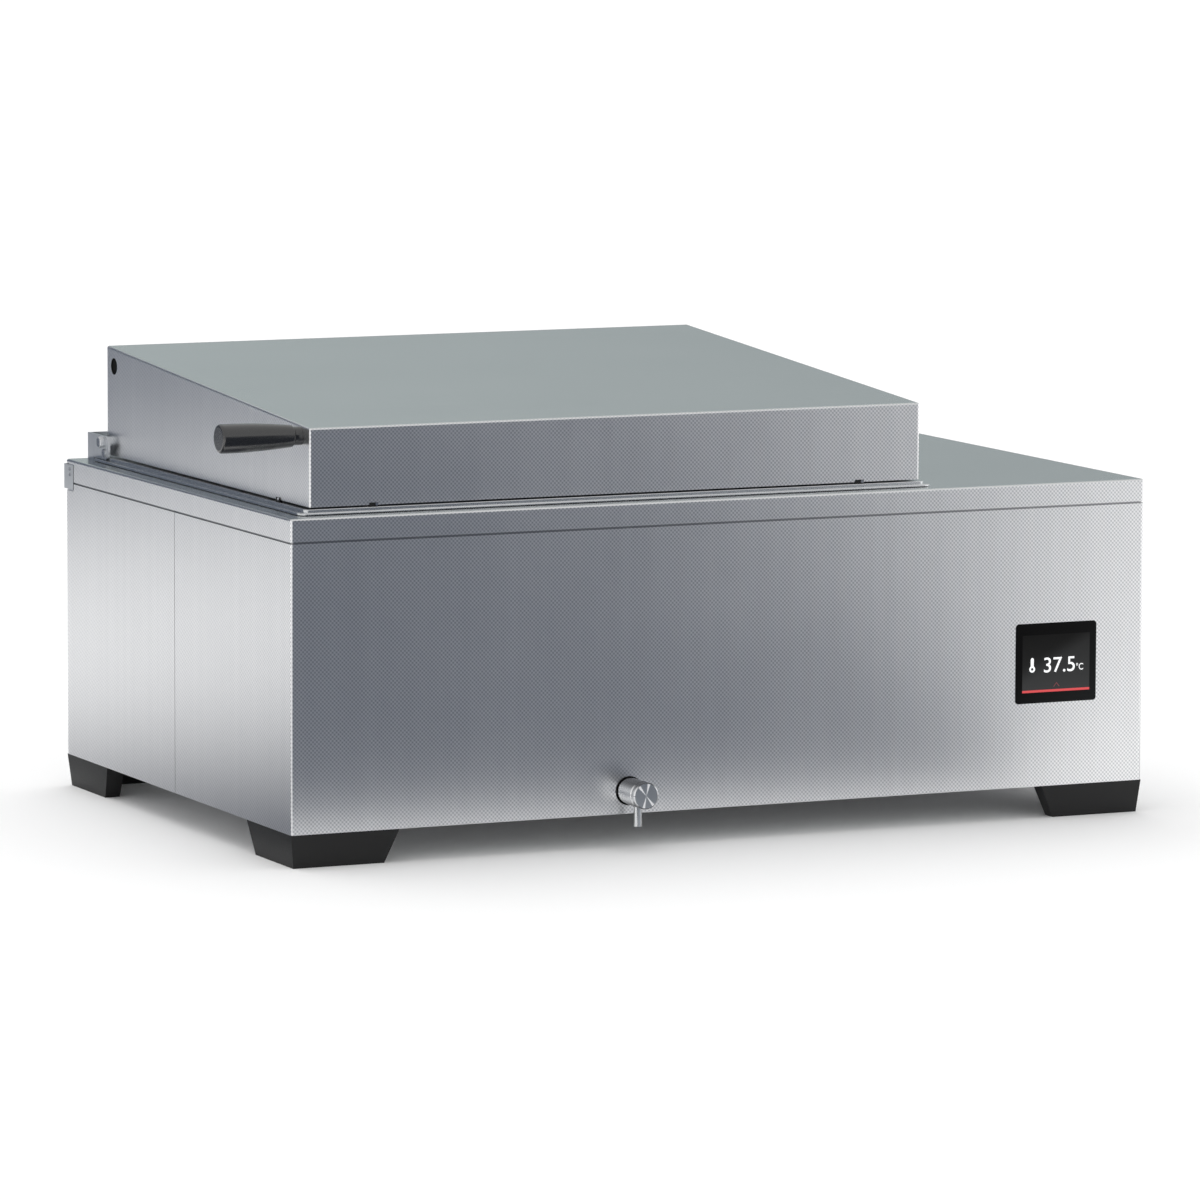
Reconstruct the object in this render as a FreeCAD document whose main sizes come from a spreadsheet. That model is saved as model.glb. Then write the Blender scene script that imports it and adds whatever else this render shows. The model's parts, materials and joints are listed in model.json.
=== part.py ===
import FreeCAD, Part
import math
import os
import Sketcher
from FreeCAD import Placement, Rotation, Vector
from types import SimpleNamespace

# Laboratory water bath: a stainless housing with a deep tank on the left, the
# controls on the right, and a sloping lid hinged at the back.
# X runs along the front from left to right, Y from the front to the back, Z up.
# The origin lies on the floor, in the middle of the whole footprint.

os.makedirs("parts", exist_ok=True)
doc = FreeCAD.newDocument("water_bath")

# Driving dimensions in millimetres
sizes = {
    # housing
    "housing_width": 820,
    "housing_height": 270,
    "foot_height": 29,
    "sheet": 1.2,
    "bend_round": 2.4,
    "cover_band": 20,
    "cover_edge_round": 2,
    "seam_gap": 1.5,
    "side_seam": 266,
    "seam_slit": 0.8,
    "strip_overlap": 10,
    "bottom_hem": 35,
    "pan_edge": 15,
    "pan_notch": 13.6,
    # feet
    "foot_leg": 100,
    "foot_thickness": 17,
    "foot_end_slant": 13,
    "foot_draft": 3,
    "foot_screw_reach": 60,
    # tank and rim
    "tank_width": 556,
    "tank_length": 436,
    "tank_front": 42,
    "side_room": 38,
    "back_room": 54,
    "tank_floor": 101,
    "tank_wall": 1.2,
    "tank_corner": 25,
    "tank_floor_round": 12,
    "tank_lip_round": 1.5,
    "rim_side": 23,
    "rim_front": 26,
    "rim_back": 28,
    "rim_rise": 1.9,
    "rim_round": 8,
    "gasket": 0.6,
    "gasket_inset": 2,
    "seat_side_step": 6,
    "seat_front_step": 3.5,
    "seat_back_step": 1,
    "seat_rise": 2.5,
    "seat_band": 12,
    "seat_lip_round": 0.75,
    # lid
    "lid_side_lap": 12,
    "lid_front_lap": 21,
    "lid_back_lap": 18,
    "lid_sheet": 1.2,
    "lid_lift": 1.5,
    "lid_front_wall": 67.5,
    "lid_back_wall": 98.5,
    "lid_edge_round": 2,
    "lid_back_relief": 3.5,
    "lid_relief_run": 5.5,
    "port_radius": 7.5,
    "port_depth": 18,
    "port_height": 81,
    "plug_dish": 1,
    "plug_lip": 1.8,
    # lid handle
    "handle_length": 75,
    "handle_radius": 12.5,
    "handle_root_radius": 9.3,
    "handle_bulge": 520,
    "handle_straight": 9,
    "handle_end_round": 2.5,
    "handle_from_front": 20,
    "handle_height": 59.5,
    "collar_length": 8,
    "collar_radius": 8,
    "collar_chamfer": 0.6,
    "stud_radius": 4,
    "stud_grip": 22,
    "stud_tail": 2,
    "stud_nut_width": 10.4,
    "stud_nut_flange": 6.8,
    "stud_nut_flange_height": 1,
    # lid buffers
    "buffer_length": 8,
    "buffer_skin": 0.9,
    "buffer_rise": 2,
    "buffer_rest_gap": 0.2,
    "buffer_from_corner": 59,
    "buffer_side_spot": 69,
    "buffer_rivet": 1.4,
    "buffer_rivet_inset": 1.7,
    "buffer_rivet_rise": 0.7,
    # hinges
    "pivot_from_lid_back": 9,
    "pivot_height": 18.4,
    "hinge_sheet": 2,
    "ear_nose": 12,
    "ear_crest": 5.6,
    "ear_round": 8,
    "ear_foot_gap": 4,
    "spacer_length": 5.1,
    "spacer_radius": 5,
    "bolt_radius": 3,
    "bolt_head_width": 9,
    "bolt_head_height": 5,
    "bolt_chamfer": 0.6,
    "bolt_tail": 1.6,
    "nut_height": 4,
    "bracket_width": 40,
    "bracket_depth": 20,
    "bracket_screw_radius": 2,
    "bracket_screw_head": 3.6,
    "bracket_screw_rise": 2,
    "ear_screw_head": 3.7,
    "ear_screw_rise": 1.5,
    "ear_screw_nut": 3.3,
    "running_gap": 0.1,
    "turning_play": 0.05,
    "thread_play": 0.1,
    # rear corner brackets
    "corner_reach": 6,
    "corner_run": 18,
    "corner_top": 3.4,
    "corner_height": 23.6,
    "corner_wrap": 16,
    "corner_slit": 1.3,
    "corner_screw_radius": 1,
    "corner_screw_head": 1.6,
    "corner_screw_rise": 0.8,
    "corner_screw_pitch": 5,
    # drain tap
    "tap_reach": 35,
    "tap_height": 49,
    "tap_radius": 11.7,
    "tap_neck": 6.8,
    "tap_neck_length": 20,
    "tap_bore": 5,
    "tap_seal": 1.5,
    "tap_nut_width": 20.4,
    "tap_nut_height": 6,
    "knob_thickness": 5.7,
    "knob_gap": 0.3,
    "knob_groove": 1.5,
    "knob_groove_depth": 3.5,
    "knob_chamfer": 1,
    "spindle_radius": 3,
    "spindle_length": 14,
    "spout_radius": 4,
    "spout_bore": 2.6,
    "spout_bottom": 20,
    "spout_from_face": 17,
    "pipe_wall": 1.8,
    "pipe_bend": 22,
    "drain_from_front": 38,
    "drain_flange": 17,
    "drain_body": 9.8,
    "drain_length": 22,
    # control display
    "display_width": 80.3,
    "display_height": 71.1,
    "display_right": 47,
    "display_bottom": 74.6,
    "display_glass": 3,
    "display_proud": 0.6,
    "display_round": 3,
    "display_frame_band": 8,
    "display_frame_depth": 9,
    "board_thickness": 1.6,
    # heating and insulation
    "heater_thickness": 2,
    "heater_margin": 40,
    "insulation_floor": 34,
    "insulation_drop": 14,
    "insulation_play": 0.3,
    "bottom_insulation": 30,
    "sensor_radius": 3,
    "sensor_nut": 7.8,
    "sensor_nut_height": 8,
    "sensor_pitch": 21,
    "sensor_height": 24,
    "sensor_reach": 60,
    "sensor_tail": 20,
    # electronics bay
    "bay_foot": 12,
    "bay_device_room": 36,
    "grommet": 7.2,
    "grommet_inset": 80,
    "transformer_width": 70,
    "transformer_depth": 58,
    "transformer_height": 60,
    "transformer_back": 40,
    "transformer_foot": 2,
    "core_depth": 26,
    "coil_inset": 14,
    "coil_rise": 12,
    "sink_width": 84,
    "sink_depth": 70,
    "sink_base": 6,
    "sink_front": 80,
    "relay_width": 42,
    "relay_height": 19,
    "fin_height": 24,
    "fin_thickness": 2,
    "fin_pitch": 8,
    "standoff": 8,
    "standoff_radius": 3,
    "power_board_length": 180,
    "power_board_height": 110,
    "power_board_rise": 80,
    "can_radius": 8,
    "can_height": 24,
    "can_pitch": 24,
    "choke_side": 32,
    "choke_height": 16,
    "terminal_pitch": 9,
    "terminal_height": 14.4,
    "terminal_screw": 2.25,
    "terminal_back": 80,
    # back panel
    "panel_height": 52,
    "inlet_width": 48,
    "inlet_height": 27,
    "inlet_depth": 22,
    "inlet_flange": 4,
    "inlet_corner": 6,
    "inlet_pin": 2,
    "inlet_pin_height": 4,
    "inlet_pin_pitch": 7,
    "inlet_proud": 1.8,
    "inlet_spot": 30,
    "switch_spot": 35,
    "switch_width": 12,
    "switch_height": 18,
    "switch_wall": 1.5,
    "switch_proud": 1.5,
    "rocker_throw": 10,
    "vent_length": 60,
    "vent_slot": 3,
    "vent_pitch": 9,
    "vent_spot": 90,
    "vent_height": 120,
    # screws under the housing
    "base_screw_spot": 175,
    "base_screw_pitch": 151,
    "base_screw_inset": 20,
    "base_screw_radius": 2,
    "pan_head_radius": 4.4,
    "pan_head_height": 2.7,
    "pan_head_dome": 1.1,
}

sheet_cells = doc.addObject("Spreadsheet::Sheet", "Sizes")
for line, (alias, value) in enumerate(sizes.items(), start=1):
    sheet_cells.set("A%d" % line, alias)
    sheet_cells.set("B%d" % line, str(value))
    sheet_cells.setAlias("B%d" % line, alias)
doc.recompute()


# A length that knows its number and the spreadsheet expression it comes from
class Size:
    def __init__(self, text, number):
        self.text = text
        self.number = number

    def joined(self, other, sign, number):
        return Size("(%s %s %s)" % (self.text, sign, text_of(other)), number)

    def __add__(self, other):
        return self.joined(other, "+", self.number + number_of(other))

    def __sub__(self, other):
        return self.joined(other, "-", self.number - number_of(other))

    def __mul__(self, other):
        return self.joined(other, "*", self.number * number_of(other))

    def __truediv__(self, other):
        return self.joined(other, "/", self.number / number_of(other))

    def __radd__(self, other):
        return Size(text_of(other), number_of(other)) + self

    def __rsub__(self, other):
        return Size(text_of(other), number_of(other)) - self

    def __rmul__(self, other):
        return Size(text_of(other), number_of(other)) * self

    def __neg__(self):
        return Size("(0 - %s)" % self.text, -self.number)


def text_of(value):
    return value.text if isinstance(value, Size) else repr(value)


def number_of(value):
    return value.number if isinstance(value, Size) else value


def bind(thing, path, value):
    if isinstance(value, Size):
        thing.setExpression(path, value.text)


s = SimpleNamespace(**{name: Size("Sizes." + name, value) for name, value in sizes.items()})
zero = Size("0", 0)

# Heights above the floor
deck = s.foot_height + s.housing_height
shell_bottom = s.foot_height
shell_top = deck - s.cover_band - s.seam_gap
pan_bottom = shell_bottom + s.sheet
pan_top = pan_bottom + s.sheet
rim_top = deck + s.gasket + s.rim_rise
seat_top = rim_top + s.seat_rise
lid_bottom = seat_top + s.lid_lift
handle_z = lid_bottom + s.handle_height
port_z = lid_bottom + s.port_height

# Places across and along the housing, from its front left corner. The housing's
# depth and the lid follow the tank; the controls are set out from the right side.
tank_left = s.side_room
tank_right = tank_left + s.tank_width
tank_front = s.tank_front
tank_back = tank_front + s.tank_length
bath_center = tank_left + s.tank_width / 2
housing_depth = tank_back + s.back_room
lid_left = tank_left - s.lid_side_lap
lid_right = tank_right + s.lid_side_lap
lid_front = tank_front - s.lid_front_lap
lid_back = tank_back + s.lid_back_lap
rim_left = tank_left - s.rim_side
rim_right = tank_right + s.rim_side
rim_front_edge = tank_front - s.rim_front
rim_back_edge = tank_back + s.rim_back
inner_round = s.bend_round - s.sheet
handle_y = lid_front + s.handle_from_front
port_y = lid_back - s.port_depth
pivot_y = lid_back - s.pivot_from_lid_back
pivot_z = deck + s.pivot_height
ear_face = lid_left - s.spacer_length - s.hinge_sheet
bracket_front = rim_back_edge + s.ear_foot_gap
bracket_back = bracket_front + s.bracket_depth - s.ear_foot_gap
strip_low = shell_top - s.strip_overlap
inlet_bottom = shell_bottom + s.panel_height
drain_y = tank_front + s.drain_from_front
pad_right = tank_right + s.tank_wall + s.heater_thickness
display_left = s.housing_width - s.display_right - s.display_width
# The partition stands midway between the tank's heating pad and the display's frame
bay_left = (pad_right + display_left - s.display_frame_band) / 2
bay_middle = (bay_left + s.housing_width) / 2
inlet_x = bay_middle - s.inlet_spot
switch_x = bay_middle + s.switch_spot
sensor_z = s.tank_floor + s.sensor_height
sensor_rows = [tank_back - s.heater_margin - s.sensor_pitch, tank_back - s.heater_margin]

# The housing's front left corner, seen from the middle of the whole footprint
left = (s.handle_length - lid_left - s.housing_width) / 2
front = (s.tap_reach - housing_depth - s.corner_reach) / 2

# Named plain values
margin = 1.0
tiny = 0.01
base_screw_count = 4
vent_count = 9
can_count = 3
terminal_count = 8
parts = []


def body(label, x=left, y=front, z=0, turn=None):
    new = doc.addObject("PartDesign::Body", label)
    new.Label = label
    new.AllowCompound = True
    new.Placement = Placement(Vector(number_of(x), number_of(y), number_of(z)), turn or Rotation())
    bind(new, "Placement.Base.x", x)
    bind(new, "Placement.Base.y", y)
    bind(new, "Placement.Base.z", z)
    parts.append(new)
    return new


def origin_item(owner, role):
    return next(item for item in owner.Origin.OriginFeatures if item.Role == role)


# A sketch on one of the body's origin planes, at a signed distance along its axis
def sketch_at(owner, plane, start):
    sketch = owner.newObject("Sketcher::SketchObject", "Sketch")
    sketch.AttachmentSupport = [(origin_item(owner, plane + "_Plane"), "")]
    sketch.MapMode = "FlatFace"
    offset = -start if plane == "XZ" else start
    sketch.AttachmentOffset = Placement(Vector(0, 0, number_of(offset)), Rotation())
    bind(sketch, "AttachmentOffset.Base.z", offset)
    return sketch


def hold(sketch, kind, *where):
    value = where[-1]
    index = sketch.addConstraint(Sketcher.Constraint(kind, *where[:-1], number_of(value)))
    bind(sketch, "Constraints[%d]" % index, value)


# A closed outline; arcs gives the radius of the sides that are bowed outwards
def outline(*points, arcs=None):
    arcs = arcs or {}

    def draw(sketch):
        first = sketch.GeometryCount
        places = [Vector(number_of(x), number_of(y), 0) for x, y in points]
        count = len(places)
        for i, start in enumerate(places):
            end = places[(i + 1) % count]
            if i in arcs:
                half = (end - start) / 2
                radius = number_of(arcs[i])
                aside = Vector(-half.y, half.x, 0).normalize()
                drop = radius - math.sqrt(radius ** 2 - half.Length ** 2)
                middle = start + half - aside * drop
                sketch.addGeometry(Part.Arc(start, middle, end), False)
            else:
                sketch.addGeometry(Part.LineSegment(start, end), False)
        for i, (x, y) in enumerate(points):
            # An arc is kept anticlockwise, so its start and end may be swapped
            this = first + i
            after = first + (i + 1) % count
            end_of_this = end_number(sketch, this, places[(i + 1) % count])
            start_of_after = end_number(sketch, after, places[(i + 1) % count])
            sketch.addConstraint(Sketcher.Constraint("Coincident", this, end_of_this, after, start_of_after))
            corner = end_number(sketch, this, places[i])
            hold(sketch, "DistanceX", -1, 1, this, corner, x)
            hold(sketch, "DistanceY", -1, 1, this, corner, y)
        for i, radius in arcs.items():
            hold(sketch, "Radius", first + i, radius)

    return draw


def end_number(sketch, index, place):
    return 1 if sketch.getPoint(index, 1).distanceToPoint(place) < tiny else 2


def rectangle(x0, y0, x1, y1):
    return outline((x0, y0), (x1, y0), (x1, y1), (x0, y1))


def rounded(x0, y0, x1, y1, radius):
    def draw(sketch):
        first = sketch.GeometryCount
        left_x, low_y, right_x, high_y = [number_of(v) for v in (x0, y0, x1, y1)]
        r = number_of(radius)
        corners = (
            (right_x - r, low_y + r, -90),
            (right_x - r, high_y - r, 0),
            (left_x + r, high_y - r, 90),
            (left_x + r, low_y + r, 180),
        )
        ends = []
        for x, y, turn in corners:
            start, stop = math.radians(turn), math.radians(turn + 90)
            circle = Part.Circle(Vector(x, y, 0), Vector(0, 0, 1), r)
            sketch.addGeometry(Part.ArcOfCircle(circle, start, stop), False)
            ends.append((Vector(x + r * math.cos(start), y + r * math.sin(start), 0),
                         Vector(x + r * math.cos(stop), y + r * math.sin(stop), 0)))
        for i in range(4):
            sketch.addGeometry(Part.LineSegment(ends[i][1], ends[(i + 1) % 4][0]), False)
        for i in range(4):
            side = first + 4 + i
            sketch.addConstraint(Sketcher.Constraint("Tangent", first + i, 2, side, 1))
            sketch.addConstraint(Sketcher.Constraint("Tangent", side, 2, first + (i + 1) % 4, 1))
            sketch.addConstraint(Sketcher.Constraint("Horizontal" if i % 2 else "Vertical", side))
        for i in range(1, 4):
            sketch.addConstraint(Sketcher.Constraint("Equal", first, first + i))
        hold(sketch, "Radius", first, radius)
        hold(sketch, "DistanceX", -1, 1, first + 4, 1, x1)
        hold(sketch, "DistanceY", -1, 1, first + 5, 1, y1)
        hold(sketch, "DistanceX", -1, 1, first + 6, 1, x0)
        hold(sketch, "DistanceY", -1, 1, first + 7, 1, y0)

    return draw


def disc(x, y, radius):
    def draw(sketch):
        index = sketch.GeometryCount
        place = Vector(number_of(x), number_of(y), 0)
        sketch.addGeometry(Part.Circle(place, Vector(0, 0, 1), number_of(radius)), False)
        hold(sketch, "DistanceX", -1, 1, index, 3, x)
        hold(sketch, "DistanceY", -1, 1, index, 3, y)
        hold(sketch, "Radius", index, radius)

    return draw


def hexagon(width):
    reach = width / math.sqrt(3)
    return outline(*[(reach * math.cos(math.radians(60 * i)), reach * math.sin(math.radians(60 * i)))
                     for i in range(6)])


# Adds or cuts the drawn shapes from start towards the plus side of the plane's axis
def extrude(owner, kind, plane, start, length, shapes):
    sketch = sketch_at(owner, plane, start)
    for shape in shapes:
        shape(sketch)
    feature = owner.newObject("PartDesign::" + kind, kind)
    feature.Profile = sketch
    feature.Length = number_of(length)
    bind(feature, "Length", length)
    towards_plus = plane == "XZ" if kind == "Pad" else plane != "XZ"
    feature.Reversed = towards_plus
    doc.recompute()
    return feature


def add(owner, plane, start, length, *shapes):
    return extrude(owner, "Pad", plane, start, length, shapes)


def cut(owner, plane, start, length, *shapes):
    return extrude(owner, "Pocket", plane, start, length, shapes)


# Turns a half section, drawn as radius and height, about the body's own Z axis
def turned(owner, *points, arcs=None):
    sketch = sketch_at(owner, "XZ", 0)
    outline(*points, arcs=arcs)(sketch)
    feature = owner.newObject("PartDesign::Revolution", "Revolution")
    feature.Profile = sketch
    feature.ReferenceAxis = (sketch, ["V_Axis"])
    feature.Angle = 360
    doc.recompute()
    return feature


def dress(owner, kind, size_name, size, wanted):
    base = owner.Tip
    names = ["Edge%d" % (i + 1) for i, edge in enumerate(base.Shape.Edges) if wanted(edge.BoundBox)]
    feature = owner.newObject("PartDesign::" + kind, kind)
    feature.Base = (base, names)
    setattr(feature, size_name, number_of(size))
    bind(feature, size_name, size)
    doc.recompute()
    return feature


def fillet(owner, radius, wanted):
    return dress(owner, "Fillet", "Radius", radius, wanted)


def chamfer(owner, size, wanted):
    return dress(owner, "Chamfer", "Size", size, wanted)


def step(owner, axis, pitch, copies):
    pattern = owner.newObject("PartDesign::LinearPattern", "LinearPattern")
    pattern.Direction = (origin_item(owner, axis + "_Axis"), [""])
    pattern.Mode = "Spacing"
    pattern.Offset = number_of(pitch)
    bind(pattern, "Offset", pitch)
    pattern.Occurrences = copies
    return pattern


def row(owner, axis, pitch, copies, *features):
    pattern = step(owner, axis, pitch, copies)
    pattern.Originals = list(features)
    owner.Tip = pattern
    doc.recompute()


# The other hand of a piece, on the far side of an upright plane across X
def mirrored(label, source, middle):
    other = doc.addObject("Part::Mirroring", label)
    other.Label = label
    other.Source = source
    other.Normal = Vector(1, 0, 0)
    other.Base = Vector(number_of(middle), 0, 0)
    other.setExpression("Base.x", middle.text)
    parts.append(other)


# Repeats features on the far side of the body's own YZ plane
def doubled(owner, *features):
    pair = owner.newObject("PartDesign::Mirrored", "Mirrored")
    pair.Originals = list(features)
    pair.MirrorPlane = (origin_item(owner, "YZ_Plane"), [""])
    owner.Tip = pair
    doc.recompute()


def near(a, b):
    return abs(number_of(a) - number_of(b)) < tiny


def stands(box, x=None, y=None):
    upright = box.ZLength > margin and box.XLength < tiny and box.YLength < tiny
    return upright and (x is None or near(box.XMin, x)) and (y is None or near(box.YMin, y))


def lies(box, height):
    return box.ZLength < tiny and near(box.ZMin, height)


along_x = Rotation(Vector(0, 1, 0), 90)
outwards = Rotation(Vector(1, 0, 0), 90)
backwards = Rotation(Vector(1, 0, 0), -90)


def both_hands(x):
    return [x, 2 * bath_center - x]


def both_ends(value, length):
    return [value, length - value]


# Screw places that more than one piece shares
foot_reach = s.foot_thickness / 2
foot_screw_spots = [
    (x, y)
    for near_x, near_y in ((s.foot_screw_reach, foot_reach), (foot_reach, s.foot_screw_reach))
    for x in both_ends(near_x, s.housing_width)
    for y in both_ends(near_y, housing_depth)
]
base_screw_columns = [s.base_screw_spot + s.base_screw_pitch * i for i in range(base_screw_count)]
screw_hole = s.base_screw_radius + s.thread_play
corner_screw_y = housing_depth - s.corner_run + s.corner_wrap / 2
corner_screw_heights = [deck - s.corner_top - s.corner_screw_pitch * i for i in (1, 2)]
bracket_screw_spots = [
    (x, bracket_front + s.bracket_depth / 3)
    for third in (1, 2)
    for x in both_hands(ear_face + s.bracket_width * third / 3 + s.hinge_sheet)
]


def hem_holes(y_line):
    holes = [disc(x, y_line, screw_hole) for x in base_screw_columns]
    return holes


# Housing

def make_base_pan():
    pan = body("base_pan")
    far_x = s.housing_width - s.sheet
    far_y = housing_depth - s.sheet
    add(pan, "XY", pan_bottom, s.pan_edge, rounded(s.sheet, s.sheet, far_x, far_y, s.bend_round))
    cut(pan, "XY", pan_top, s.pan_edge,
        rounded(2 * s.sheet, 2 * s.sheet, far_x - s.sheet, far_y - s.sheet, inner_round))
    holes = hem_holes(s.base_screw_inset) + hem_holes(housing_depth - s.base_screw_inset)
    holes += [disc(x, y, screw_hole) for x, y in foot_screw_spots]
    cut(pan, "XY", pan_bottom - margin, 2 * margin + s.sheet, *holes)
    notch = s.pan_notch
    cut(pan, "XZ", zero, 3 * s.sheet,
        rounded(bath_center - notch, s.tap_height - notch, bath_center + notch, s.tap_height + notch,
                s.bend_round))


def channel(x0, x1, closed_y, open_y, wall):
    # U-shaped section: closed at closed_y, open at open_y
    inner_y = closed_y + wall if number_of(open_y) > number_of(closed_y) else closed_y - wall
    return outline((x0, closed_y), (x1, closed_y), (x1, open_y), (x1 - wall, open_y),
                   (x1 - wall, inner_y), (x0 + wall, inner_y), (x0 + wall, open_y), (x0, open_y))


def bend_corners(shell, y_outer, y_inner):
    width = s.housing_width.number
    wall = s.sheet.number
    fillet(shell, s.bend_round, lambda box: stands(box, y=y_outer))
    fillet(shell, inner_round,
           lambda box: stands(box, y=y_inner) and wall - tiny < box.XMin < width - wall + tiny)


def top_strip(shell, closed_y, open_y):
    # The upstand that the cover's band slides over
    strip_start = s.sheet
    return add(shell, "XY", strip_low, deck - s.sheet - strip_low,
               channel(strip_start, s.housing_width - strip_start, closed_y, open_y, s.sheet))


def make_front_shell():
    shell = body("front_shell")
    add(shell, "XY", shell_bottom, shell_top - shell_bottom,
        channel(zero, s.housing_width, zero, s.side_seam, s.sheet))
    bend_corners(shell, 0, s.sheet)
    add(shell, "XY", shell_bottom, s.sheet,
        rectangle(s.bend_round, s.sheet / 2, s.housing_width - s.bend_round, s.bottom_hem))
    top_strip(shell, s.sheet, s.side_seam)
    fillet(shell, s.bend_round, lambda box: stands(box, y=s.sheet) and near(box.ZMax, deck - s.sheet))
    tongue_low = pan_bottom + s.pan_edge + margin
    for x in both_ends(s.sheet, s.housing_width - s.sheet):
        add(shell, "XY", tongue_low, strip_low - tongue_low,
            rectangle(x, s.side_seam - s.strip_overlap, x + s.sheet, s.side_seam + s.strip_overlap))
    play = s.running_gap
    glass_bottom = shell_bottom + s.display_bottom
    cut(shell, "XZ", -margin, s.sheet + 2 * margin,
        rounded(display_left - play, glass_bottom - play,
                display_left + s.display_width + play, glass_bottom + s.display_height + play,
                s.display_round),
        disc(bath_center, s.tap_height, s.tap_neck + s.thread_play))
    holes = hem_holes(s.base_screw_inset)
    holes += [disc(x, foot_reach, screw_hole) for x in both_ends(s.foot_screw_reach, s.housing_width)]
    cut(shell, "XY", shell_bottom - margin, 2 * margin + s.sheet / 2, *holes)


def make_rear_shell():
    shell = body("rear_shell")
    back = housing_depth
    start = s.side_seam + s.seam_slit
    add(shell, "XY", shell_bottom, shell_top - shell_bottom,
        channel(zero, s.housing_width, back, start, s.sheet))
    bend_corners(shell, back, back - s.sheet)
    add(shell, "XY", shell_bottom, s.sheet,
        rectangle(s.bend_round, back - s.bottom_hem, s.housing_width - s.bend_round, back - s.sheet / 2))
    top_strip(shell, back - s.sheet, start)
    fillet(shell, s.bend_round, lambda box: stands(box, y=back - s.sheet) and near(box.ZMax, deck - s.sheet))
    cut_corner_notches(shell, deck - s.corner_top - s.corner_height - s.corner_slit,
                       shell_top + margin)
    for x in both_ends(s.sheet, s.housing_width - s.sheet):
        for height in corner_screw_heights:
            cut(shell, "YZ", x - 2 * s.sheet, 4 * s.sheet,
                disc(corner_screw_y, height, s.corner_screw_radius + s.thread_play))
    holes = hem_holes(back - s.base_screw_inset)
    holes += [disc(x, back - foot_reach, screw_hole) for x in both_ends(s.foot_screw_reach, s.housing_width)]
    cut(shell, "XY", shell_bottom - margin, 2 * margin + s.sheet / 2, *holes)
    inlet_top = inlet_bottom + s.inlet_height
    switch_bottom = inlet_bottom + (s.inlet_height - s.switch_height) / 2 - s.switch_wall
    cut(shell, "XZ", back - s.sheet - margin, s.sheet + 2 * margin,
        rectangle(inlet_x - s.inlet_width / 2, inlet_bottom, inlet_x + s.inlet_width / 2, inlet_top),
        rectangle(switch_x - s.switch_width / 2 - s.switch_wall, switch_bottom,
                  switch_x + s.switch_width / 2 + s.switch_wall,
                  switch_bottom + s.switch_height + 2 * s.switch_wall))
    vent_bottom = shell_bottom + s.vent_height
    vent_x = s.housing_width - s.vent_spot
    slot = cut(shell, "XZ", back - s.sheet - margin, s.sheet + 2 * margin,
               rounded(vent_x - s.vent_length / 2, vent_bottom, vent_x + s.vent_length / 2,
                       vent_bottom + s.vent_slot, s.vent_slot / 2 - tiny))
    row(shell, "Z", s.vent_pitch, vent_count, slot)


def cut_corner_notches(owner, low, high):
    notch_front = housing_depth - s.corner_run - s.corner_slit
    for x in (-margin, s.housing_width - s.sheet):
        cut(owner, "XY", low, high - low,
            rectangle(x, notch_front, x + s.sheet + margin, housing_depth + margin))


def make_top_cover():
    cover = body("top_cover")
    back = housing_depth
    band_bottom = deck - s.cover_band
    add(cover, "XY", band_bottom, s.cover_band, rounded(zero, zero, s.housing_width, back, s.bend_round))
    fillet(cover, s.cover_edge_round, lambda box: lies(box, deck))
    cut(cover, "XY", band_bottom - margin, s.cover_band + margin - s.sheet,
        rounded(s.sheet, s.sheet, s.housing_width - s.sheet, back - s.sheet, inner_round))
    wall = s.tank_wall + margin
    cut(cover, "XY", band_bottom, s.cover_band + margin,
        rounded(tank_left - wall, tank_front - wall, tank_right + wall, tank_back + wall,
                s.tank_corner + wall))
    cut_corner_notches(cover, band_bottom - margin, deck - s.corner_top)
    cut(cover, "XY", deck - 2 * s.sheet, 3 * s.sheet,
        *[disc(x, y, s.bracket_screw_radius + s.thread_play) for x, y in bracket_screw_spots])


# Rear corner brackets


def make_corner_brackets():
    bracket = body("corner_bracket_left")
    back = housing_depth
    low = deck - s.corner_top - s.corner_height
    edge = back - s.corner_run
    far = back + s.corner_reach
    add(bracket, "XY", low, s.corner_height - s.corner_slit,
        outline((zero, edge), (s.sheet, edge), (s.sheet, far - s.sheet), (s.corner_wrap, far - s.sheet),
                (s.corner_wrap, far), (zero, far)))
    fillet(bracket, s.sheet, lambda box: stands(box, x=0, y=far))
    cut(bracket, "YZ", -margin, s.sheet + 2 * margin,
        *[disc(corner_screw_y, height, s.corner_screw_radius + s.thread_play)
          for height in corner_screw_heights])
    mirrored("corner_bracket_right", bracket, left + s.housing_width / 2)
    screws = body("corner_screws")
    rise = s.corner_screw_rise
    heads = [disc(corner_screw_y, height, s.corner_screw_head) for height in corner_screw_heights]
    shanks = [disc(corner_screw_y, height, s.corner_screw_radius) for height in corner_screw_heights]
    add(screws, "YZ", -rise, rise, *heads)
    add(screws, "YZ", zero, 3 * s.sheet, *shanks)
    add(screws, "YZ", s.housing_width, rise, *heads)
    add(screws, "YZ", s.housing_width - 3 * s.sheet, 3 * s.sheet, *shanks)


# Feet: L-shaped in plan, each leg's end slanted, the outer faces drawn in towards the floor

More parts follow.
